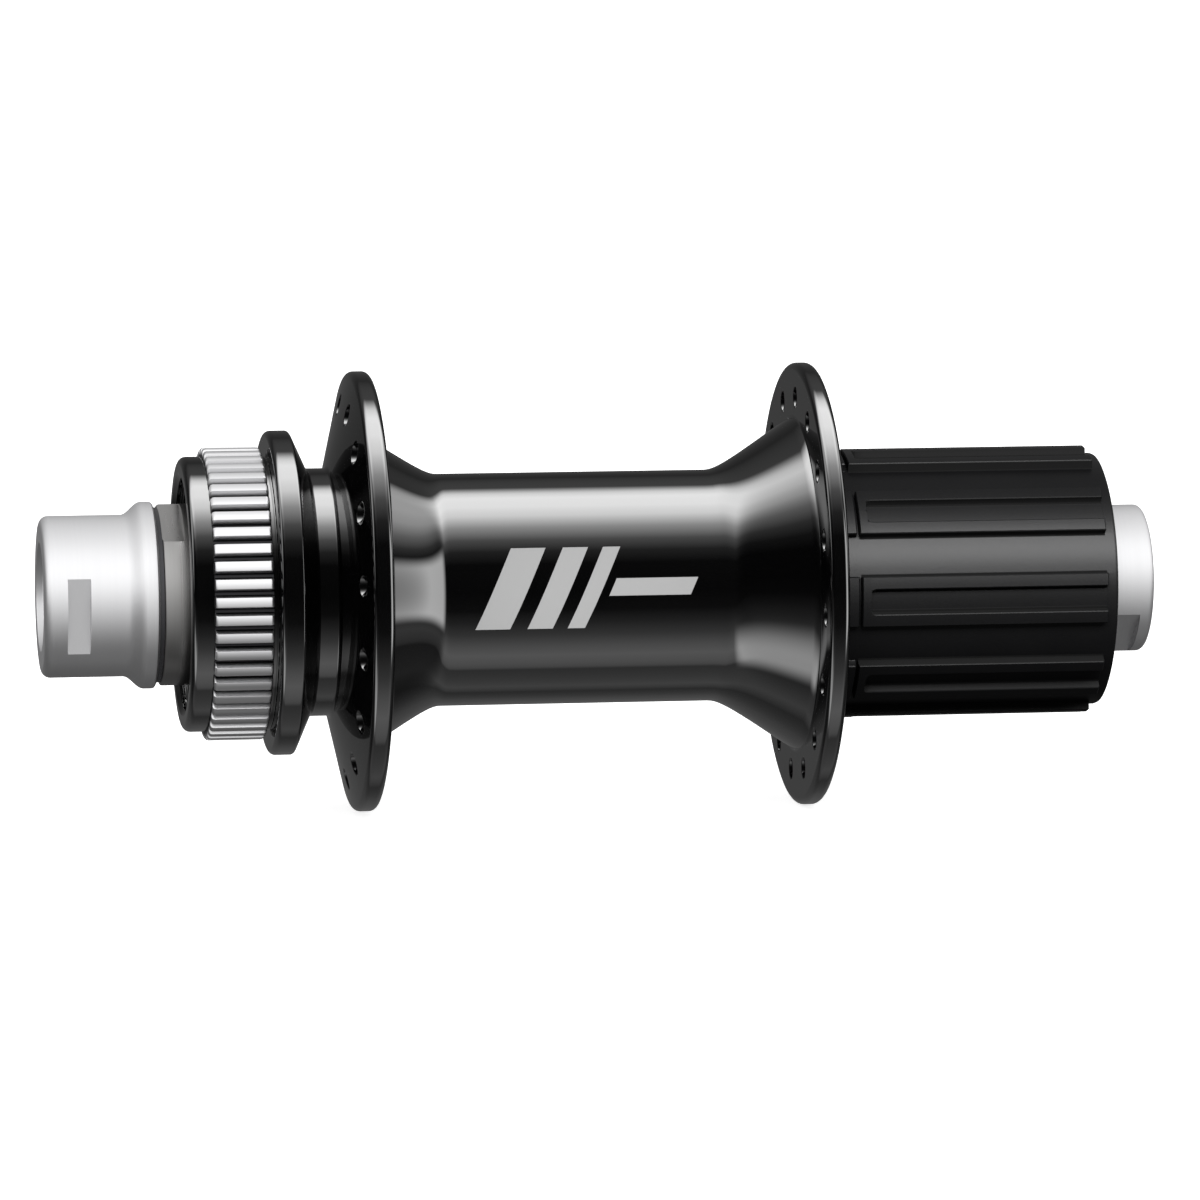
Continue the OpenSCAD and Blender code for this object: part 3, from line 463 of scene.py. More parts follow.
def carrier_skin(s):
    """The carrier's outside is a radius for each station and angle. Every spline has the same steps
    of angle, which follow the edges of its slot and of its flanks, and a row of stations follows
    each step along the axle. The bore and its thread close it inside."""
    turn, count = 2 * np.pi / s.ridge_count, s.ridge_count
    deg = math.radians
    top, low, slot = s.ridge_r, s.groove_r, s.slot_w / 2
    step, bevel = 0.02 * MM, 0.12 * MM
    # a slot that hasn't begun is kept this wide, so that its columns stay in order
    shut = 0.04 * MM
    middle = s.slot_y - slot
    # a row: station, radius of the tops, radius of the grooves, half width of the slots, 1 where they are cut
    ring = lambda y, r, w=shut: (y, r, r, w, 0)
    land = lambda y, r, w=shut, cut=0: (y, r, low, w, cut)
    rows = [ring(s.start_y, s.bore_r + 0.1 * MM), ring(s.start_y, s.stop_r - 0.36 * MM),
            ring(s.start_y, s.stop_r - 0.3 * MM), ring(s.start_y - 0.09 * MM, s.stop_r - 0.09 * MM),
            ring(s.start_y - 0.3 * MM, s.stop_r), ring(s.stop_y + 0.08 * MM, s.stop_r),
            ring(s.stop_y, s.stop_r - 0.08 * MM), ring(s.stop_y, top + 0.1 * MM),
            (s.stop_y - step, top, low + bevel, shut, 0), land(s.stop_y - 0.1 * MM, top),
            land(s.pad_y + bevel, top), land(s.pad_y, top - bevel), land(s.pad_y - step, low + 0.05 * MM),
            land(s.pad_y - 0.06 * MM, low), land(s.ridge_y + 0.06 * MM, low),
            land(s.ridge_y + step, low + 0.05 * MM), land(s.ridge_y, top - bevel),
            land(s.ridge_y - bevel, top), land(s.slot_y + 0.2 * MM, top), land(s.slot_y + bevel, top)]
    # the slot's end is the curve |along|^6 + |across|^6 = 1, nearly a square
    for a in np.radians([89.9, 87, 78, 66, 50, 30, 12, 0]):
        along, across = np.sin(a) ** (1 / 3), np.cos(a) ** (1 / 3)
        rows.append(land(middle + slot * along, top, max(slot * across, shut), 1))
    rows += [land(middle + (s.ridge_end_y - middle) * f, top, slot, 1) for f in (0.2, 0.4, 0.6, 0.8)]
    rows += [land(s.ridge_end_y + bevel, top, slot, 1), land(s.ridge_end_y, top - bevel, slot, 1),
             land(s.ridge_end_y - step, low + 0.14 * MM, slot, 1), land(s.ridge_end_y - 0.06 * MM, low, slot),
             land(s.end_y + 0.42 * MM, low, slot), land(s.end_y + 0.36 * MM, low, slot),
             ring(s.end_y + 0.1 * MM, low - 0.1 * MM, slot), ring(s.end_y, low - 0.36 * MM, slot),
             ring(s.end_y, low - 0.42 * MM, slot), ring(s.end_y, s.thread_r + 0.46 * MM, slot),
             ring(s.end_y, s.thread_r + 0.4 * MM, slot), ring(s.end_y + 0.4 * MM, s.thread_r, slot)]
    station, tops, floors, width, open_slot = (column[:, None] for column in np.array(rows).T)
    w = np.arcsin(width / s.ridge_r)
    ones = np.ones_like(w)
    scale = np.clip(width / slot, 0.05, 1)
    slot_steps = [0 * ones, 0.5 * w, *(w + deg(shift) * scale for shift in (-0.28, -0.06, 0.02, 0.42))]
    # the narrow groove that lets a cassette fit one way is the one before this spline
    key = count // 2 + 1
    half_r = np.full(count, s.ridge_half)
    half_l = half_r.copy()
    half_l[key] = turn / 2

    def flank(half):
        """Steps of angle over a flank: top, bevel, side, floor, and on to the middle of the groove."""
        foot = half + deg(0.3)
        rest = np.maximum(turn / 2 - foot, deg(0.3))
        rail = slot_steps[-1]
        top_edge = np.minimum(half - deg(0.42), 0.5 * turn - deg(1.6))
        return [rail + (top_edge - rail) / 4, rail + (top_edge - rail) / 2, rail + (top_edge - rail) * 3 / 4,
                top_edge, half - deg(0.02), half + deg(0.1), foot, foot + 0.35 * rest, foot + 0.7 * rest]

    # height of each step: from the slot's floor up to the rail beside it, then down the spline's flank
    slot_high = [0, 0, 0, 0.1, 0.9, 1]
    side_high = [1, 1, 1, 1, 0.9, 0.08, 0, 0, 0]
    columns, heights = [], []
    for i in range(count):
        right = [*slot_steps, *(v * ones for v in flank(half_r[i]))]
        left = [*slot_steps[1:], *(v * ones for v in flank(half_l[i] - (deg(0.9) if i == key else 0)))]
        if i == key:
            left = left[:-2]
        centre = s.ridge_phase + turn * i
        columns += [centre - v for v in left[::-1]] + [centre + v for v in right]
        left_high = [*slot_high[1:], *side_high][: len(left)]
        heights += [*left_high[::-1], *slot_high, *side_high]
        before_key = deg(0.05) if i == key - 1 else 0
        columns.append((centre + turn / 2 - before_key) * ones)
        heights.append(0)
    angle = np.concatenate(columns, 1)
    share = np.array(heights)[None, :]
    # the slot's own columns rise from its floor, and all others from the groove's
    widest = math.asin(slot / s.ridge_r) + deg(0.5)
    from_middle = abs((angle[-1] - s.ridge_phase + turn / 2) % turn - turn / 2)
    slot_column = (from_middle < widest)[None, :]
    bottom = np.minimum(np.where(slot_column, s.slot_r, floors), tops)
    lift = np.where(slot_column, 1 - (1 - share) * open_slot, share)
    radius = bottom + (tops - bottom) * lift
    skin = Skin()
    outside = around(radius, station, angle)
    skin.patch(outside, closed_columns=True)
    # the columns differ at the inner end only where the slots are shut, so the bore leads them back there
    first, last = angle[0], angle[-1]
    y_ball = np.array([s.small_left_y, s.small_right_y])
    cage_y = s.small_right_y + 0.4 * s.small_race_r
    reach = 1.6 * MM
    y = np.concatenate((
        [s.thread_y, s.thread_y + step],
        np.linspace(s.small_right_y - 1.2 * MM, cage_y - step, 7),
        np.linspace(cage_y, s.small_right_y + reach, 5),
        np.linspace(s.ratchet_end_y, s.ratchet_y, 5),
        np.linspace(s.small_left_y - reach, s.small_left_y, 6),
        [s.small_left_y + 0.3 * MM, s.start_y - 0.1 * MM]))
    plain = np.select(
        [y <= s.thread_y, y < cage_y, y < s.ratchet_end_y, y <= s.ratchet_y, y < s.small_left_y],
        [s.thread_r, s.bore_r - 0.25 * MM, s.ratchet_r, s.bore_r, s.ratchet_r], s.bore_r)
    # a race is a circle's arc: radius = circle of the balls + sqrt(race^2 - distance^2)
    from_ball = abs(y[:, None] - y_ball)
    race = s.small_pitch_r + np.sqrt(np.maximum(s.small_race_r**2 - from_ball**2, 0)).max(1)
    plain = np.where((from_ball < s.small_race_r).any(1), np.maximum(plain, race), plain)
    blend = ((y - y[0]) / (y[-1] - y[0]))[:, None]
    screw = thread(s.thread_r, 0.3 * MM, 1.0 * MM, station[-1, 0], s.thread_y, last)
    skin.patch(screw, closed_columns=True)
    bore = around(plain[:, None], y[:, None], last + (first - last) * blend)
    skin.patch(np.concatenate((bore, outside[:1])), closed_columns=True)
    return skin


def ratchet_skin(s):
    """A ring whose inner radius is a sawtooth of the angle: it rises slowly from tip to root and
    drops back over a short steep side."""
    share = np.array([0, 0.06, 0.3, 0.6, 0.8])
    height = np.array([1, 0, 0.2, 0.5, 0.75])
    pitch = 2 * np.pi / s.ratchet_count
    lead = math.radians(0.9)
    angle = (even_angles(s.ratchet_count)[:, None] - lead - pitch * (1 - share)).reshape(-1)
    inner = s.ratchet_r + (s.ratchet_root_r - s.ratchet_r) * np.tile(height, s.ratchet_count)
    outer = s.bore_r - 0.02 * MM
    y_a, y_b = s.ratchet_y, s.ratchet_end_y
    loop = [around(r, y, angle) for r, y in ((outer, y_a), (inner, y_a), (inner, y_b), (outer, y_b))]
    skin = Skin()
    skin.patch(np.stack(loop), closed_rows=True, closed_columns=True)
    return skin


# ---- Finishes ----


class Term:
    """A socket that arithmetic can be written with: each operation adds one Math node."""

    def __init__(self, finish, socket):
        self.finish, self.socket = finish, socket

    def math(self, operation, *values):
        return self.finish.node("ShaderNodeMath", {"operation": operation}, dict(enumerate(values)))

    def __add__(self, other):
        return self.math("ADD", self, other)

    __radd__ = __add__

    def __sub__(self, other):
        return self.math("SUBTRACT", self, other)

    def __rsub__(self, other):
        return self.math("SUBTRACT", other, self)

    def __mul__(self, other):
        return self.math("MULTIPLY", self, other)

    __rmul__ = __mul__

    def __truediv__(self, other):
        return self.math("DIVIDE", self, other)

    def __pow__(self, other):
        return self.math("POWER", self, other)

    def __gt__(self, other):
        return self.math("GREATER_THAN", self, other)

    def __lt__(self, other):
        return self.math("LESS_THAN", self, other)

    def __abs__(self):
        return self.math("ABSOLUTE", self)

    def between(self, low, high):
        """0 below low, 1 above high and a smooth rise from one to the other."""
        return self.finish.node("ShaderNodeMapRange", {"interpolation_type": "SMOOTHSTEP"},
                                {"Value": self, "From Min": low, "From Max": high})


class Nodes:
    """Adds nodes to a tree: a node's settings are set first, then its sockets' values or links."""

    def __init__(self, tree):
        self.tree = tree

    def raw(self, kind, settings=None, inputs=None):
        node = self.tree.nodes.new(kind)
        for name, value in (settings or {}).items():
            setattr(node, name, value)
        for name, value in (inputs or {}).items():
            self.feed(node.inputs[name], value)
        return node

    def feed(self, socket, value):
        if isinstance(value, Term):
            self.tree.links.new(value.socket, socket)
        else:
            socket.default_value = value

    def node(self, kind, settings=None, inputs=None, output=0):
        return Term(self, self.raw(kind, settings, inputs).outputs[output])

    def split(self, vector):
        node = self.raw("ShaderNodeSeparateXYZ", None, {0: vector})
        return [Term(self, socket) for socket in node.outputs]

    def vector(self, x, y, z):
        return self.node("ShaderNodeCombineXYZ", None, {0: x, 1: y, 2: z})

    def blend(self, share, a, b):
        """Colour a where the share is 0 and colour b where it is 1."""
        node = self.raw("ShaderNodeMix", {"data_type": "RGBA"}, {0: share})
        self.feed(node.inputs[6], a if isinstance(a, Term) else (*a, 1))
        self.feed(node.inputs[7], b if isinstance(b, Term) else (*b, 1))
        return Term(self, node.outputs[2])

    def noise(self, vector, scale, detail=2.0, roughness=0.5):
        return self.node("ShaderNodeTexNoise", {"noise_dimensions": "3D"},
                         {"Vector": vector, "Scale": scale, "Detail": detail, "Roughness": roughness})


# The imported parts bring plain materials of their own, which have the bare names
FINISH_PREFIX = "hub_"


class Finish(Nodes):
    """A material with one Principled shader."""

    def __init__(self, name, roughness, metallic=0.0, **own):
        self.material = bpy.data.materials.new(FINISH_PREFIX + name)
        self.material.use_nodes = True
        super().__init__(self.material.node_tree)
        self.shader = self.tree.nodes["Principled BSDF"]
        self.shader.inputs["Roughness"].default_value = roughness
        self.shader.inputs["Metallic"].default_value = metallic
        for socket, value in own.items():
            self.shader.inputs[socket.replace("_", " ")].default_value = value
        coordinates = self.raw("ShaderNodeTexCoord")
        self.place = Term(self, coordinates.outputs["Object"])
        self.x, self.y, self.z = self.split(self.place)

    def radius(self):
        return self.node("ShaderNodeMath", {"operation": "SQRT"}, {0: self.x * self.x + self.z * self.z})

    def wrap(self, term, half_turn):
        """The term less whole turns, between minus and plus half a turn."""
        limits = {0: term, 1: half_turn, 2: -half_turn}
        return self.node("ShaderNodeMath", {"operation": "WRAP"}, limits)

    def angle(self):
        """The angle about the axle, 0 forwards and 90 down."""
        return self.node("ShaderNodeMath", {"operation": "ARCTAN2"}, {0: 0 - self.z, 1: self.x})

    def lathe_lines(self, scale):
        """Noise that changes fast along the axle and from the axle outwards, and hardly round it."""
        return self.noise(self.vector(self.radius() * scale, self.y * scale, 0.0), 1.0, 3.0, 0.7)

    def dress(self, colour, roughness=None, bump=None, strength=0.2, distance=0.02 * MM):
        """Joins the terms to the shader's sockets and returns the material."""
        self.feed(self.shader.inputs["Base Color"], colour)
        if roughness is not None:
            self.feed(self.shader.inputs["Roughness"], roughness)
        if bump is not None:
            inputs = {"Strength": strength, "Distance": distance, "Height": bump}
            self.feed(self.shader.inputs["Normal"], self.node("ShaderNodeBump", None, inputs))
        return self.material


def shade(colour, factor):
    """The colour made darker or lighter."""
    return tuple(channel * factor for channel in colour)


# The printed mark: places along the barrel and half widths of the slanted bars, in millimetres
MARK_BARS = [(12.8, 2.2), (6.8, 1.6), (2.2, 1.1)]
MARK_DASH = (-5.3, 5.2, 1.1)  # place, half length, half height
MARK_HALF_HEIGHT = 5.2
MARK_SLANT = 0.45
MARK_MIDDLE = math.radians(187)


def black_anodised(colours, s):
    """Glossy black with faint turning lines, and slanted plain bars printed on the barrel."""
    f = Finish("black_anodised", 0.0, Specular_IOR_Level=0.5)
    lines = f.lathe_lines(2600)
    cloud = f.noise(f.place, 160, 3)
    height = f.wrap(MARK_MIDDLE - f.angle(), math.pi) * s.barrel_r
    along = f.y - height * MARK_SLANT
    place, half_length, half_height = (v * MM for v in MARK_DASH)
    bars = (abs(along - place) < half_length) * (abs(height) < half_height)
    for place, half_width in MARK_BARS:
        bars = bars + (abs(along - place * MM) < half_width * MM)
    on_barrel = abs(f.radius() - s.barrel_r) < 0.3 * MM
    mark = bars * on_barrel * (abs(height) < MARK_HALF_HEIGHT * MM)
    black = f.blend(cloud, tuple(colours.black_anodised), shade(colours.black_anodised, 0.5))
    return f.dress(f.blend(mark, black, tuple(colours.mark)), 0.35 * mark, lines, 0.1, 0.002 * MM)


def satin_aluminium(colours):
    """Turned and blasted aluminium: fine lines round the axle and a soft grey cloud."""
    f = Finish("satin_aluminium", 0.4, 1.0)
    lines = f.lathe_lines(3000)
    cloud = f.noise(f.place, 90, 3)
    bright = colours.satin_aluminium
    tone = f.blend(0.12 * cloud + 0.1 * lines, tuple(bright), shade(bright, 0.72))
    return f.dress(tone, 0.36 + 0.14 * lines, lines, 0.35)


def spline_aluminium(colours, root_r):
    """The same aluminium, with painted shade that darkens it towards the roots between the splines."""
    f = Finish("disc_spline_aluminium", 0.3, 1.0)
    lines = f.noise(f.vector(f.x * 900, f.y * 60, f.z * 900), 1.0, 3.0, 0.6)
    # painted shade: the colour darkens from the flanks down into the roots between the splines
    depth = 1 - f.radius().between(root_r + 0.1 * MM, root_r + 0.85 * MM)
    tone = f.blend(depth, tuple(colours.satin_aluminium), tuple(colours.spline_root_shade))
    return f.dress(tone, 0.27 + 0.14 * lines, lines)


def black_carrier(colours, s):
    """Satin black with a fine grain, duller beside the walls of the splines and slots, where painted shade
    also darkens it.
    """
    f = Finish("black_carrier", 0.5, Specular_IOR_Level=0.05)
    grain = f.noise(f.place, 5200, 2, 0.7)
    cloud = f.noise(f.place, 220, 3)
    across = abs(f.wrap(f.angle() - s.ridge_phase, math.pi / s.ridge_count)) * s.ridge_r
    from_slot = abs(across - s.slot_w / 2 + 0.2 * MM)
    from_groove = abs(across - s.ridge_r * s.ridge_half - 0.15 * MM)
    # painted shade: strips beside the slots' and splines' walls are darkened and made duller
    slot_edge_shade = (1 - from_slot.between(0.12 * MM, 0.32 * MM)) * (f.y < s.slot_y)
    groove_edge_shade = 1 - from_groove.between(0.1 * MM, 0.3 * MM)
    wall = (slot_edge_shade + groove_edge_shade) * (f.y < s.ridge_y) * (f.y > s.ridge_end_y)
    black = colours.carrier_face
    face = f.blend(grain * 0.6 + cloud * 0.4, shade(black, 0.5), shade(black, 1.5))
    tone = f.blend(wall, face, tuple(colours.carrier_wall_shade))
    return f.dress(tone, 0.37 + 0.08 * grain + 0.55 * wall, grain, 0.25)


def steel(name, colour, roughness, metallic=1.0, scale=2400, strength=0.2):
    """Steel with turning lines round the axle and a faint cloud."""
    f = Finish(name, roughness, metallic)
    lines = f.lathe_lines(scale)
    cloud = f.noise(f.place, 140, 3)
    tone = f.blend(0.25 * cloud + 0.2 * lines, tuple(colour), shade(colour, 0.6))
    return f.dress(tone, roughness - 0.05 + 0.12 * lines, lines, strength)


def moulded(name, colour, roughness):
    """Rubber or plastic with a fine moulded grain."""
    f = Finish(name, roughness)
    grain = f.noise(f.place, 3200, 3, 0.6)
    tone = f.blend(grain, shade(colour, 0.7), shade(colour, 1.4))
    return f.dress(tone, roughness - 0.06 + 0.12 * grain, grain, 0.25, 0.03 * MM)


def finish_of(name):
    """The finish with that name, made when it is first asked for."""
    made = bpy.data.materials.get(FINISH_PREFIX + name)
    if made:
        return made
    c = bpy.context.scene.hub_colours
    shell, carrier = bpy.context.scene.hub_shell_sizes, bpy.context.scene.hub_carrier_sizes
    makers = {
        "black_anodised": lambda: black_anodised(c, shell),
        "satin_aluminium": lambda: satin_aluminium(c),
        "disc_spline_aluminium": lambda: spline_aluminium(c, shell.lip_r),
        "black_carrier": lambda: black_carrier(c, carrier),
        "ground_steel": lambda: steel(name, c.ground_steel, 0.28),
        "dark_steel": lambda: steel(name, c.dark_steel, 0.42, 0.85),
        "ball_steel": lambda: steel(name, c.ball_steel, 0.1, 1.0, 400, 0.03),
        "retainer_steel": lambda: steel(name, c.retainer_steel, 0.36, 1.0, 900, 0.12),
        "seal_rubber": lambda: moulded(name, c.seal_rubber, 0.68),
        "cover_plastic": lambda: moulded(name, c.cover_plastic, 0.46),
    }
    return makers[name]()


# ---- Operators ----


class HUB_OT_shell(bpy.types.Operator):
    """Builds the hub shell with its flanges, spoke holes, bore and lock ring thread"""

    bl_idname = "hub.shell"
    bl_label = "Hub shell"

    def execute(self, context):
        skin = shell_skin(context.scene.hub_shell_sizes)
        skin.piece("shell_body", finish_of("black_anodised"), "shell", "black_anodised", ["hub_shell"], 32)
        return {"FINISHED"}


class HUB_OT_disc_splines(bpy.types.Operator):
    """Builds the bare ring of disc splines on the hub shell"""

    bl_idname = "hub.disc_splines"
    bl_label = "Disc splines"

    def execute(self, context):
        finish = finish_of("disc_spline_aluminium")
        skin = spline_skin(context.scene.hub_shell_sizes)
        skin.piece("disc_spline_ring", finish, "shell", "satin_aluminium", crease=40)
        return {"FINISHED"}


class HUB_OT_end_caps(bpy.types.Operator):
    """Builds both end caps with their spanner notches"""

    bl_idname = "hub.end_caps"
    bl_label = "End caps"

    def execute(self, context):
        s = context.scene.hub_end_sizes
        finish = finish_of("satin_aluminium")
        wall, hair, chamfer = 0.05 * MM, 0.01 * MM, 0.8 * MM
        collar_y = s.left_y + s.collar_w
        # the slope's radius falls along half a cosine wave
        t = np.linspace(0, 1, 13)
        fall = (1 + np.cos(np.pi * t)) / 2
        slope = np.stack((s.left_r + (s.collar_r - s.left_r) * fall, collar_y + s.slope_w * t), 1)
        high = s.end_y - s.left_notch_in
        low = high - s.notch_w
        inner = rounded([
            (s.tube_r, s.left_y, 0), (s.collar_r, s.left_y, 0.4), (s.collar_r, collar_y - 0.1 * MM, 0)])
        outer = rounded([
            (s.left_r, low - wall, 0), (s.left_r, low, 0), (s.left_r, high, 0), (s.left_r, high + wall, 0),
            (s.left_r, s.end_y, 1.1), (s.bore_r + chamfer, s.end_y, 0.1), (s.bore_r, s.end_y - chamfer, 0.1),
            (s.bore_r, s.tube_y, 0), (s.tube_r, s.tube_y, 0)], steps=6)
        line = np.concatenate((inner, slope, outer))
        skin = notched_skin(line, s.left_phase, s.left_r - s.notch_depth, low - hair, high + hair)
        skin.piece("left_cap_turned", finish, "axle", "satin_aluminium", ["left_end_cap"], 22)
        low = s.right_notch_in - s.end_y
        high = low + s.notch_w
        line = rounded([
            (s.tube_r, s.right_y, 0), (s.right_r, s.right_y, 0.12), (s.right_r, high + wall, 0),
            (s.right_r, high, 0), (s.right_r, low, 0), (s.right_r, low - wall, 0), (s.right_r, -s.end_y, 1.1),
            (s.bore_r + chamfer, -s.end_y, 0.1), (s.bore_r, chamfer - s.end_y, 0.1),
            (s.bore_r, -s.tube_y, 0), (s.tube_r, -s.tube_y, 0)], steps=6)
        skin = notched_skin(line, s.right_phase, s.right_r - s.notch_depth, low - hair, high + hair)
        skin.piece("right_cap_turned", finish, "axle", "satin_aluminium", ["right_end_cap"], 22)
        return {"FINISHED"}


class HUB_OT_left_cone(bpy.types.Operator):
    """Builds the left cone with its ball race and spanner flats"""

    bl_idname = "hub.left_cone"
    bl_label = "Left cone"

    def execute(self, context):
        s = context.scene.hub_end_sizes
        wall, hair = 0.05 * MM, 0.01 * MM
        start = s.race_y - 1 * MM
        # the race is an arc: radius = circle of the balls - sqrt(race^2 - distance^2)
        pitch = s.cone_r - 0.2 * MM
        y = np.linspace(start, s.race_y + s.race_r - 0.005 * MM, 14)
        arc = np.stack((pitch - np.sqrt(s.race_r**2 - (y - s.race_y) ** 2), y), 1)
        outer = rounded([
            (s.cone_r, s.race_y + s.race_r + 0.02 * MM, 0), (s.cone_r, s.cone_flat_y - wall, 0),
            (s.cone_r, s.cone_flat_y, 0), (s.cone_r, s.cone_y, 0.35), (s.tube_r, s.cone_y, 0)])
        line = np.concatenate(([[s.tube_r, start]], arc, outer))
        skin = notched_skin(line, s.cone_phase, s.cone_flat, s.cone_flat_y - hair, s.cone_y + hair)
        skin.piece("left_cone_turned", finish_of("ground_steel"), "axle", "ground_steel", ["left_cone"], 22)
        return {"FINISHED"}


class HUB_OT_carrier(bpy.types.Operator):
    """Builds the cassette carrier and the ratchet ring inside it"""

    bl_idname = "hub.carrier"
    bl_label = "Cassette carrier"

    def execute(self, context):
        s = context.scene.hub_carrier_sizes
        black, ground = finish_of("black_carrier"), finish_of("ground_steel")
        carrier_skin(s).piece("carrier_body", black, "carrier", "black_carrier", ["cassette_carrier"], 32)
        ratchet_skin(s).piece("ratchet_ring", ground, "carrier", "ground_steel", crease=25)
        return {"FINISHED"}


class HUB_OT_inner_parts(bpy.types.Operator):
    """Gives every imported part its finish"""

    bl_idname = "hub.inner_parts"
    bl_label = "Inner parts"

    finishes = {
        "ground_steel": [
            "axle_tube", "left_cone", "right_cone", "left_cup", "right_cup", "freehub_inner_body", "pawl_1",
            "pawl_2", "pawl_3", "pawl_spring"],
        "dark_steel": ["left_lock_washer", "right_lock_washer", "freehub_fixing_bolt"],
        "ball_steel": ["left_balls", "right_balls", "freehub_left_balls", "freehub_right_balls"],
        "retainer_steel": ["left_ball_retainer", "right_ball_retainer"],
        "seal_rubber": ["left_seal", "right_seal", "freehub_seal"],
        "cover_plastic": ["left_dust_cover", "right_dust_cover"],
        "satin_aluminium": ["left_end_cap", "right_end_cap"],
        "black_anodised": ["hub_shell"],
        "black_carrier": ["cassette_carrier"],
    }

    def execute(self, context):
        left = set(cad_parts)
        for name, nodes in self.finishes.items():
            for node in nodes:
                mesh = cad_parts[node].data
                mesh.materials.clear()
                mesh.materials.append(finish_of(name))
                left.discard(node)
        if left:
            raise RuntimeError(f"no finish for {sorted(left)}")
        return {"FINISHED"}


# Brightness of the studio against the angle about the axle, as mirror-like surfaces see it. The angle
# is 0 at the studio's front, 90 overhead and -90 below
LIGHT_BAND = [
    (-180, 0.1), (-140, 0.25), (-121, 0.2), (-110, 0.6), (-96, 0.54), (-84, 0.48), (-81, 1.1), (-76, 1.45),
    (-66, 1.9), (-56, 1.5), (-43, 0.72), (-30, 0.3), (-18, 0.07), (0, 0.03), (28, 0.045), (41, 0.31),
    (53, 1.45), (67, 5.6), (81, 13.0), (93, 14.5), (106, 12.6), (113, 8.6), (119, 3.0), (123, 0.5),
    (147, 0.1), (180, 0.1)]

# The same for all other surfaces, which see a broad light from the front
SOFT_LIGHT = [
    (-180, 0.1), (-131, 0.1), (-115, 0.1), (-97, 0.2), (-81, 0.12), (-65, 0.17), (-53, 0.27), (-39, 0.41),
    (-27, 0.57), (-17, 0.73), (-5, 0.9), (7, 1.12), (19, 1.35), (34, 1.45), (51, 1.42), (65, 1.3), (77, 1.12),
    (91, 0.97), (107, 0.87), (125, 0.76), (139, 0.6), (159, 0.3), (180, 0.1)]


STUDIO_TILT = math.radians(3.1)  # the studio's front is this far above level, on the camera's side
SIDE_LEAN = 12 / 360  # towards both sides the light lies this share of a turn further over the top


class Studio(Nodes):
    """The world's light as a function of the direction that a ray leaves in."""

    def __init__(self, tree):
        super().__init__(tree)
        x, self.side, z = self.split(self.node("ShaderNodeTexCoord", None, None, "Generated"))
        self.out = abs(self.side)
        ahead = x * -math.cos(STUDIO_TILT) + z * math.sin(STUDIO_TILT)
        above = x * math.sin(STUDIO_TILT) + z * math.cos(STUDIO_TILT)
        self.rise = self.node("ShaderNodeMath", {"operation": "ARCTAN2"}, {0: above, 1: ahead})
        self.share = self.rise / (2 * math.pi) + 0.5 - SIDE_LEAN * self.out.between(0.55, 0.8)

    def ramp(self, table):
        """The table's brightness at the ray's angle."""
        peak = max(value for _, value in table)
        node = self.raw("ShaderNodeValToRGB", None, {"Fac": self.share})
        stops = node.color_ramp.elements
        stops[0].position, stops[1].position = 0, 1
        for angle, _ in table[1:-1]:
            stops.new(angle / 360 + 0.5)
        for stop, (_, value) in zip(stops, table):
            stop.color = (value / peak,) * 3 + (1,)
        return Term(self, node.outputs["Color"]) * peak

    def window(self, low, low_full, high_full, high):
        """1 between two angles in degrees, with a soft edge on either side."""
        deg = math.radians
        return self.rise.between(deg(low), deg(low_full)) * (1 - self.rise.between(deg(high_full), deg(high)))

    def light(self):
        """Mirror-like surfaces see the band and a panel at each side, and all others the soft light."""
        low_panel = self.window(-92, -76, -70, -36) * self.side.between(0.42, 0.6)
        front_panel = self.window(-48, -30, 36, 56) * (0 - self.side).between(0.55, 0.75)
        panels = (low_panel * 5.0 + front_panel * 8.5) * (1 - self.out.between(0.9, 0.99))
        band = self.ramp(LIGHT_BAND) * (1 - 0.65 * self.out.between(0.5, 0.75))
        sharp = Term(self, self.raw("ShaderNodeLightPath").outputs["Is Singular Ray"])
        return (band + panels) * sharp + self.ramp(SOFT_LIGHT) * (1 - sharp)

    def dress(self):
        """The camera itself sees plain white behind the object."""
        soft = self.raw("ShaderNodeBackground", None, {"Color": (1, 1, 1, 1), "Strength": self.light()})
        white = self.raw("ShaderNodeBackground", None, {"Color": (1, 1, 1, 1), "Strength": 1.05})
        seen = Term(self, self.raw("ShaderNodeLightPath").outputs["Is Camera Ray"])
        mix = self.raw("ShaderNodeMixShader", None, {0: seen})
        output = self.raw("ShaderNodeOutputWorld")
        self.tree.links.new(soft.outputs[0], mix.inputs[1])
        self.tree.links.new(white.outputs[0], mix.inputs[2])
        self.tree.links.new(mix.outputs[0], output.inputs["Surface"])


def aim(obj, location):
    """Puts an object at a place and turns it to the middle of the hub."""
    obj.location = location
    obj.rotation_euler = (-Vector(location)).to_track_quat("-Z", "Y").to_euler()


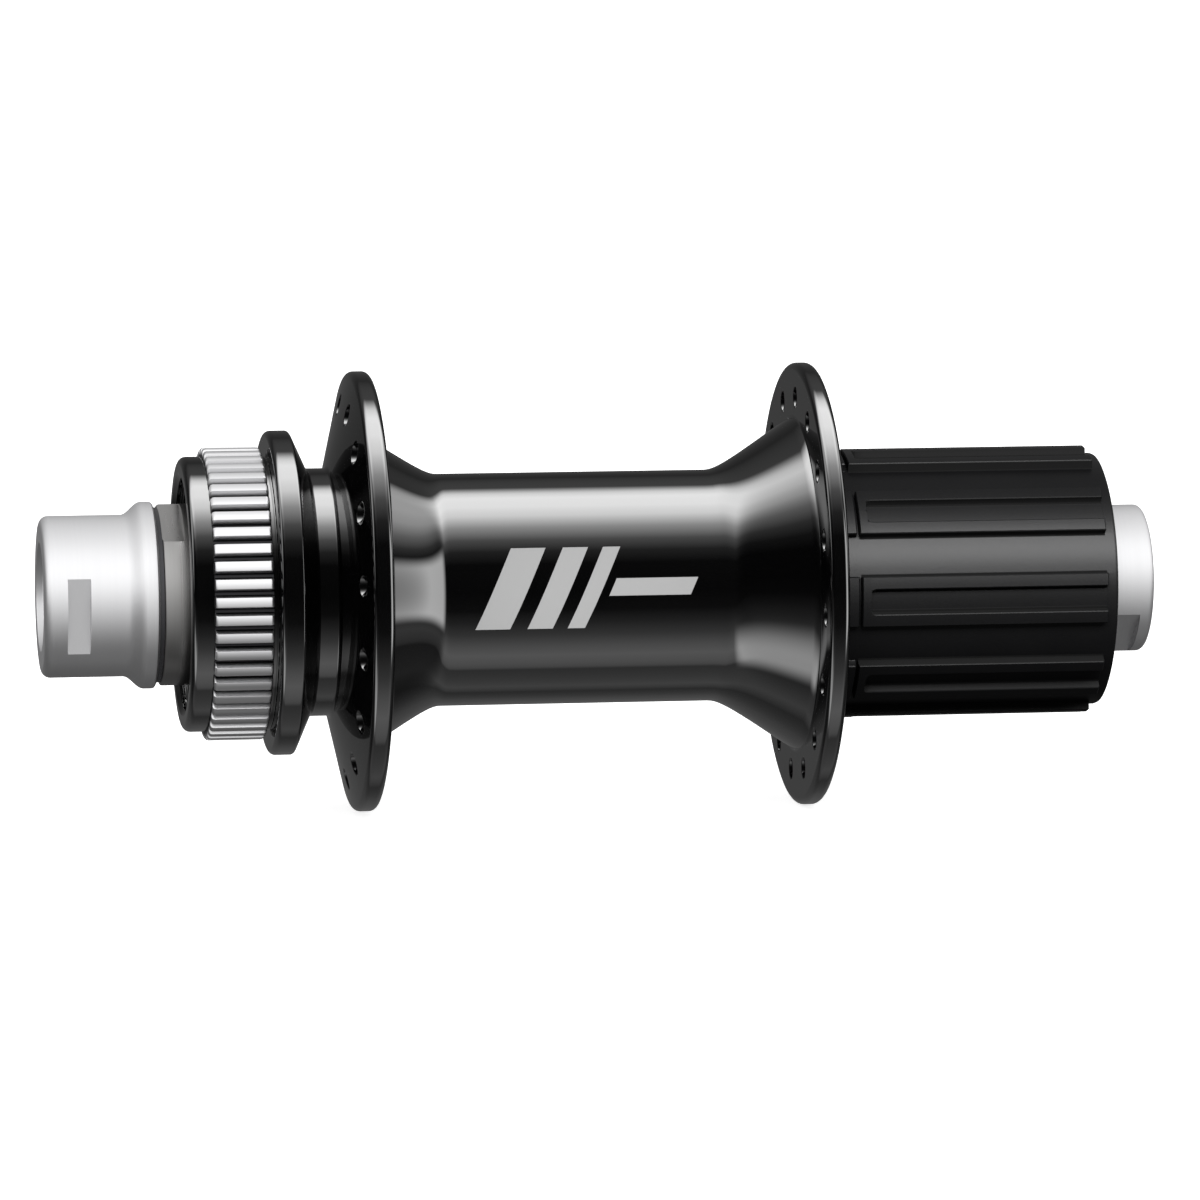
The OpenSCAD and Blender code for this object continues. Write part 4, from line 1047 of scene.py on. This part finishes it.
class HUB_OT_stage(bpy.types.Operator):
    """Sets up the floor, the camera, the soft light all round and the plain white background"""

    bl_idname = "hub.stage"
    bl_label = "Stage"

    def execute(self, context):
        self.floor(context.scene)
        self.camera(context.scene)
        self.lamp(context.scene)
        world = bpy.data.worlds.new("studio")
        world.use_nodes = True
        world.node_tree.nodes.clear()
        Studio(world.node_tree).dress()
        context.scene.world = world
        context.scene.view_settings.view_transform = "Standard"
        return {"FINISHED"}

    def floor(self, scene):
        reach, z = 3.0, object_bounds()[0][2]
        corners = [(-reach, -reach, z), (reach, -reach, z), (reach, reach, z), (-reach, reach, z)]
        mesh = bpy.data.meshes.new("floor")
        mesh.from_pydata(corners, [], [(0, 1, 2, 3)])
        paper = Finish("floor_paper", 0.8, Emission_Color=(1, 1, 1, 1), Emission_Strength=0.8)
        grain = paper.noise(paper.place, 900, 2)
        pale = tuple(scene.hub_colours.floor)
        mesh.materials.append(paper.dress(paper.blend(grain * 0.05, pale, (0.8, 0.8, 0.8))))
        floor = bpy.data.objects.new("floor", mesh)
        scene.collection.objects.link(floor)
        floor.visible_glossy = False
        floor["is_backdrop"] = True

    def camera(self, scene):
        camera = bpy.data.objects.new("camera", bpy.data.cameras.new("camera"))
        scene.collection.objects.link(camera)
        aim(camera, (-0.933, 0.136, 0.117))
        camera.data.sensor_width = 36
        camera.data.lens = 223
        camera.data.shift_x, camera.data.shift_y = 0.0038, -0.0108
        camera.data.clip_start, camera.data.clip_end = 0.01, 20
        scene.camera = camera

    def lamp(self, scene):
        """A soft lamp above the camera that lights only the carrier."""
        lamp = bpy.data.objects.new("carrier_light", bpy.data.lights.new("carrier_light", "AREA"))
        scene.collection.objects.link(lamp)
        lamp.data.shape = "RECTANGLE"
        lamp.data.size, lamp.data.size_y = 1.2, 0.4
        lamp.data.energy = 125
        aim(lamp, (-0.79, -0.13, 0.55))
        lit = bpy.data.collections.new("lit_by_carrier_light")
        lit.objects.link(bpy.data.objects["carrier_body"])
        lamp.light_linking.receiver_collection = lit


class HUB_PT_panel(bpy.types.Panel):
    """Lists the builders and their sizes"""

    bl_idname = "HUB_PT_panel"
    bl_label = "Rear hub"
    bl_space_type = "VIEW_3D"
    bl_region_type = "UI"
    bl_category = "Hub"

    def draw(self, context):
        for operator in OPERATORS:
            self.layout.operator(operator.bl_idname)
        for name, _ in GROUPS:
            box = self.layout.box()
            group = getattr(context.scene, name)
            for key in group.__annotations__:
                box.prop(group, key)


OPERATORS = (
    HUB_OT_shell, HUB_OT_disc_splines, HUB_OT_end_caps, HUB_OT_left_cone, HUB_OT_carrier, HUB_OT_inner_parts,
    HUB_OT_stage)
GROUPS = (
    ("hub_shell_sizes", HubShellSizes), ("hub_end_sizes", AxleEndSizes), ("hub_carrier_sizes", CarrierSizes),
    ("hub_colours", HubColours))


def register():
    for _, group in GROUPS:
        bpy.utils.register_class(group)
    for operator in OPERATORS:
        bpy.utils.register_class(operator)
    bpy.utils.register_class(HUB_PT_panel)
    for name, group in GROUPS:
        setattr(bpy.types.Scene, name, PointerProperty(type=group))


def unregister():
    for name, _ in GROUPS:
        delattr(bpy.types.Scene, name)
    bpy.utils.unregister_class(HUB_PT_panel)
    for operator in reversed(OPERATORS):
        bpy.utils.unregister_class(operator)
    for _, group in reversed(GROUPS):
        bpy.utils.unregister_class(group)


def main():
    """Builds every piece in order."""
    register()
    bpy.ops.hub.shell()
    bpy.ops.hub.disc_splines()
    bpy.ops.hub.end_caps()
    bpy.ops.hub.left_cone()
    bpy.ops.hub.carrier()
    bpy.ops.hub.inner_parts()
    bpy.ops.hub.stage()


if __name__ == "__main__":
    main()
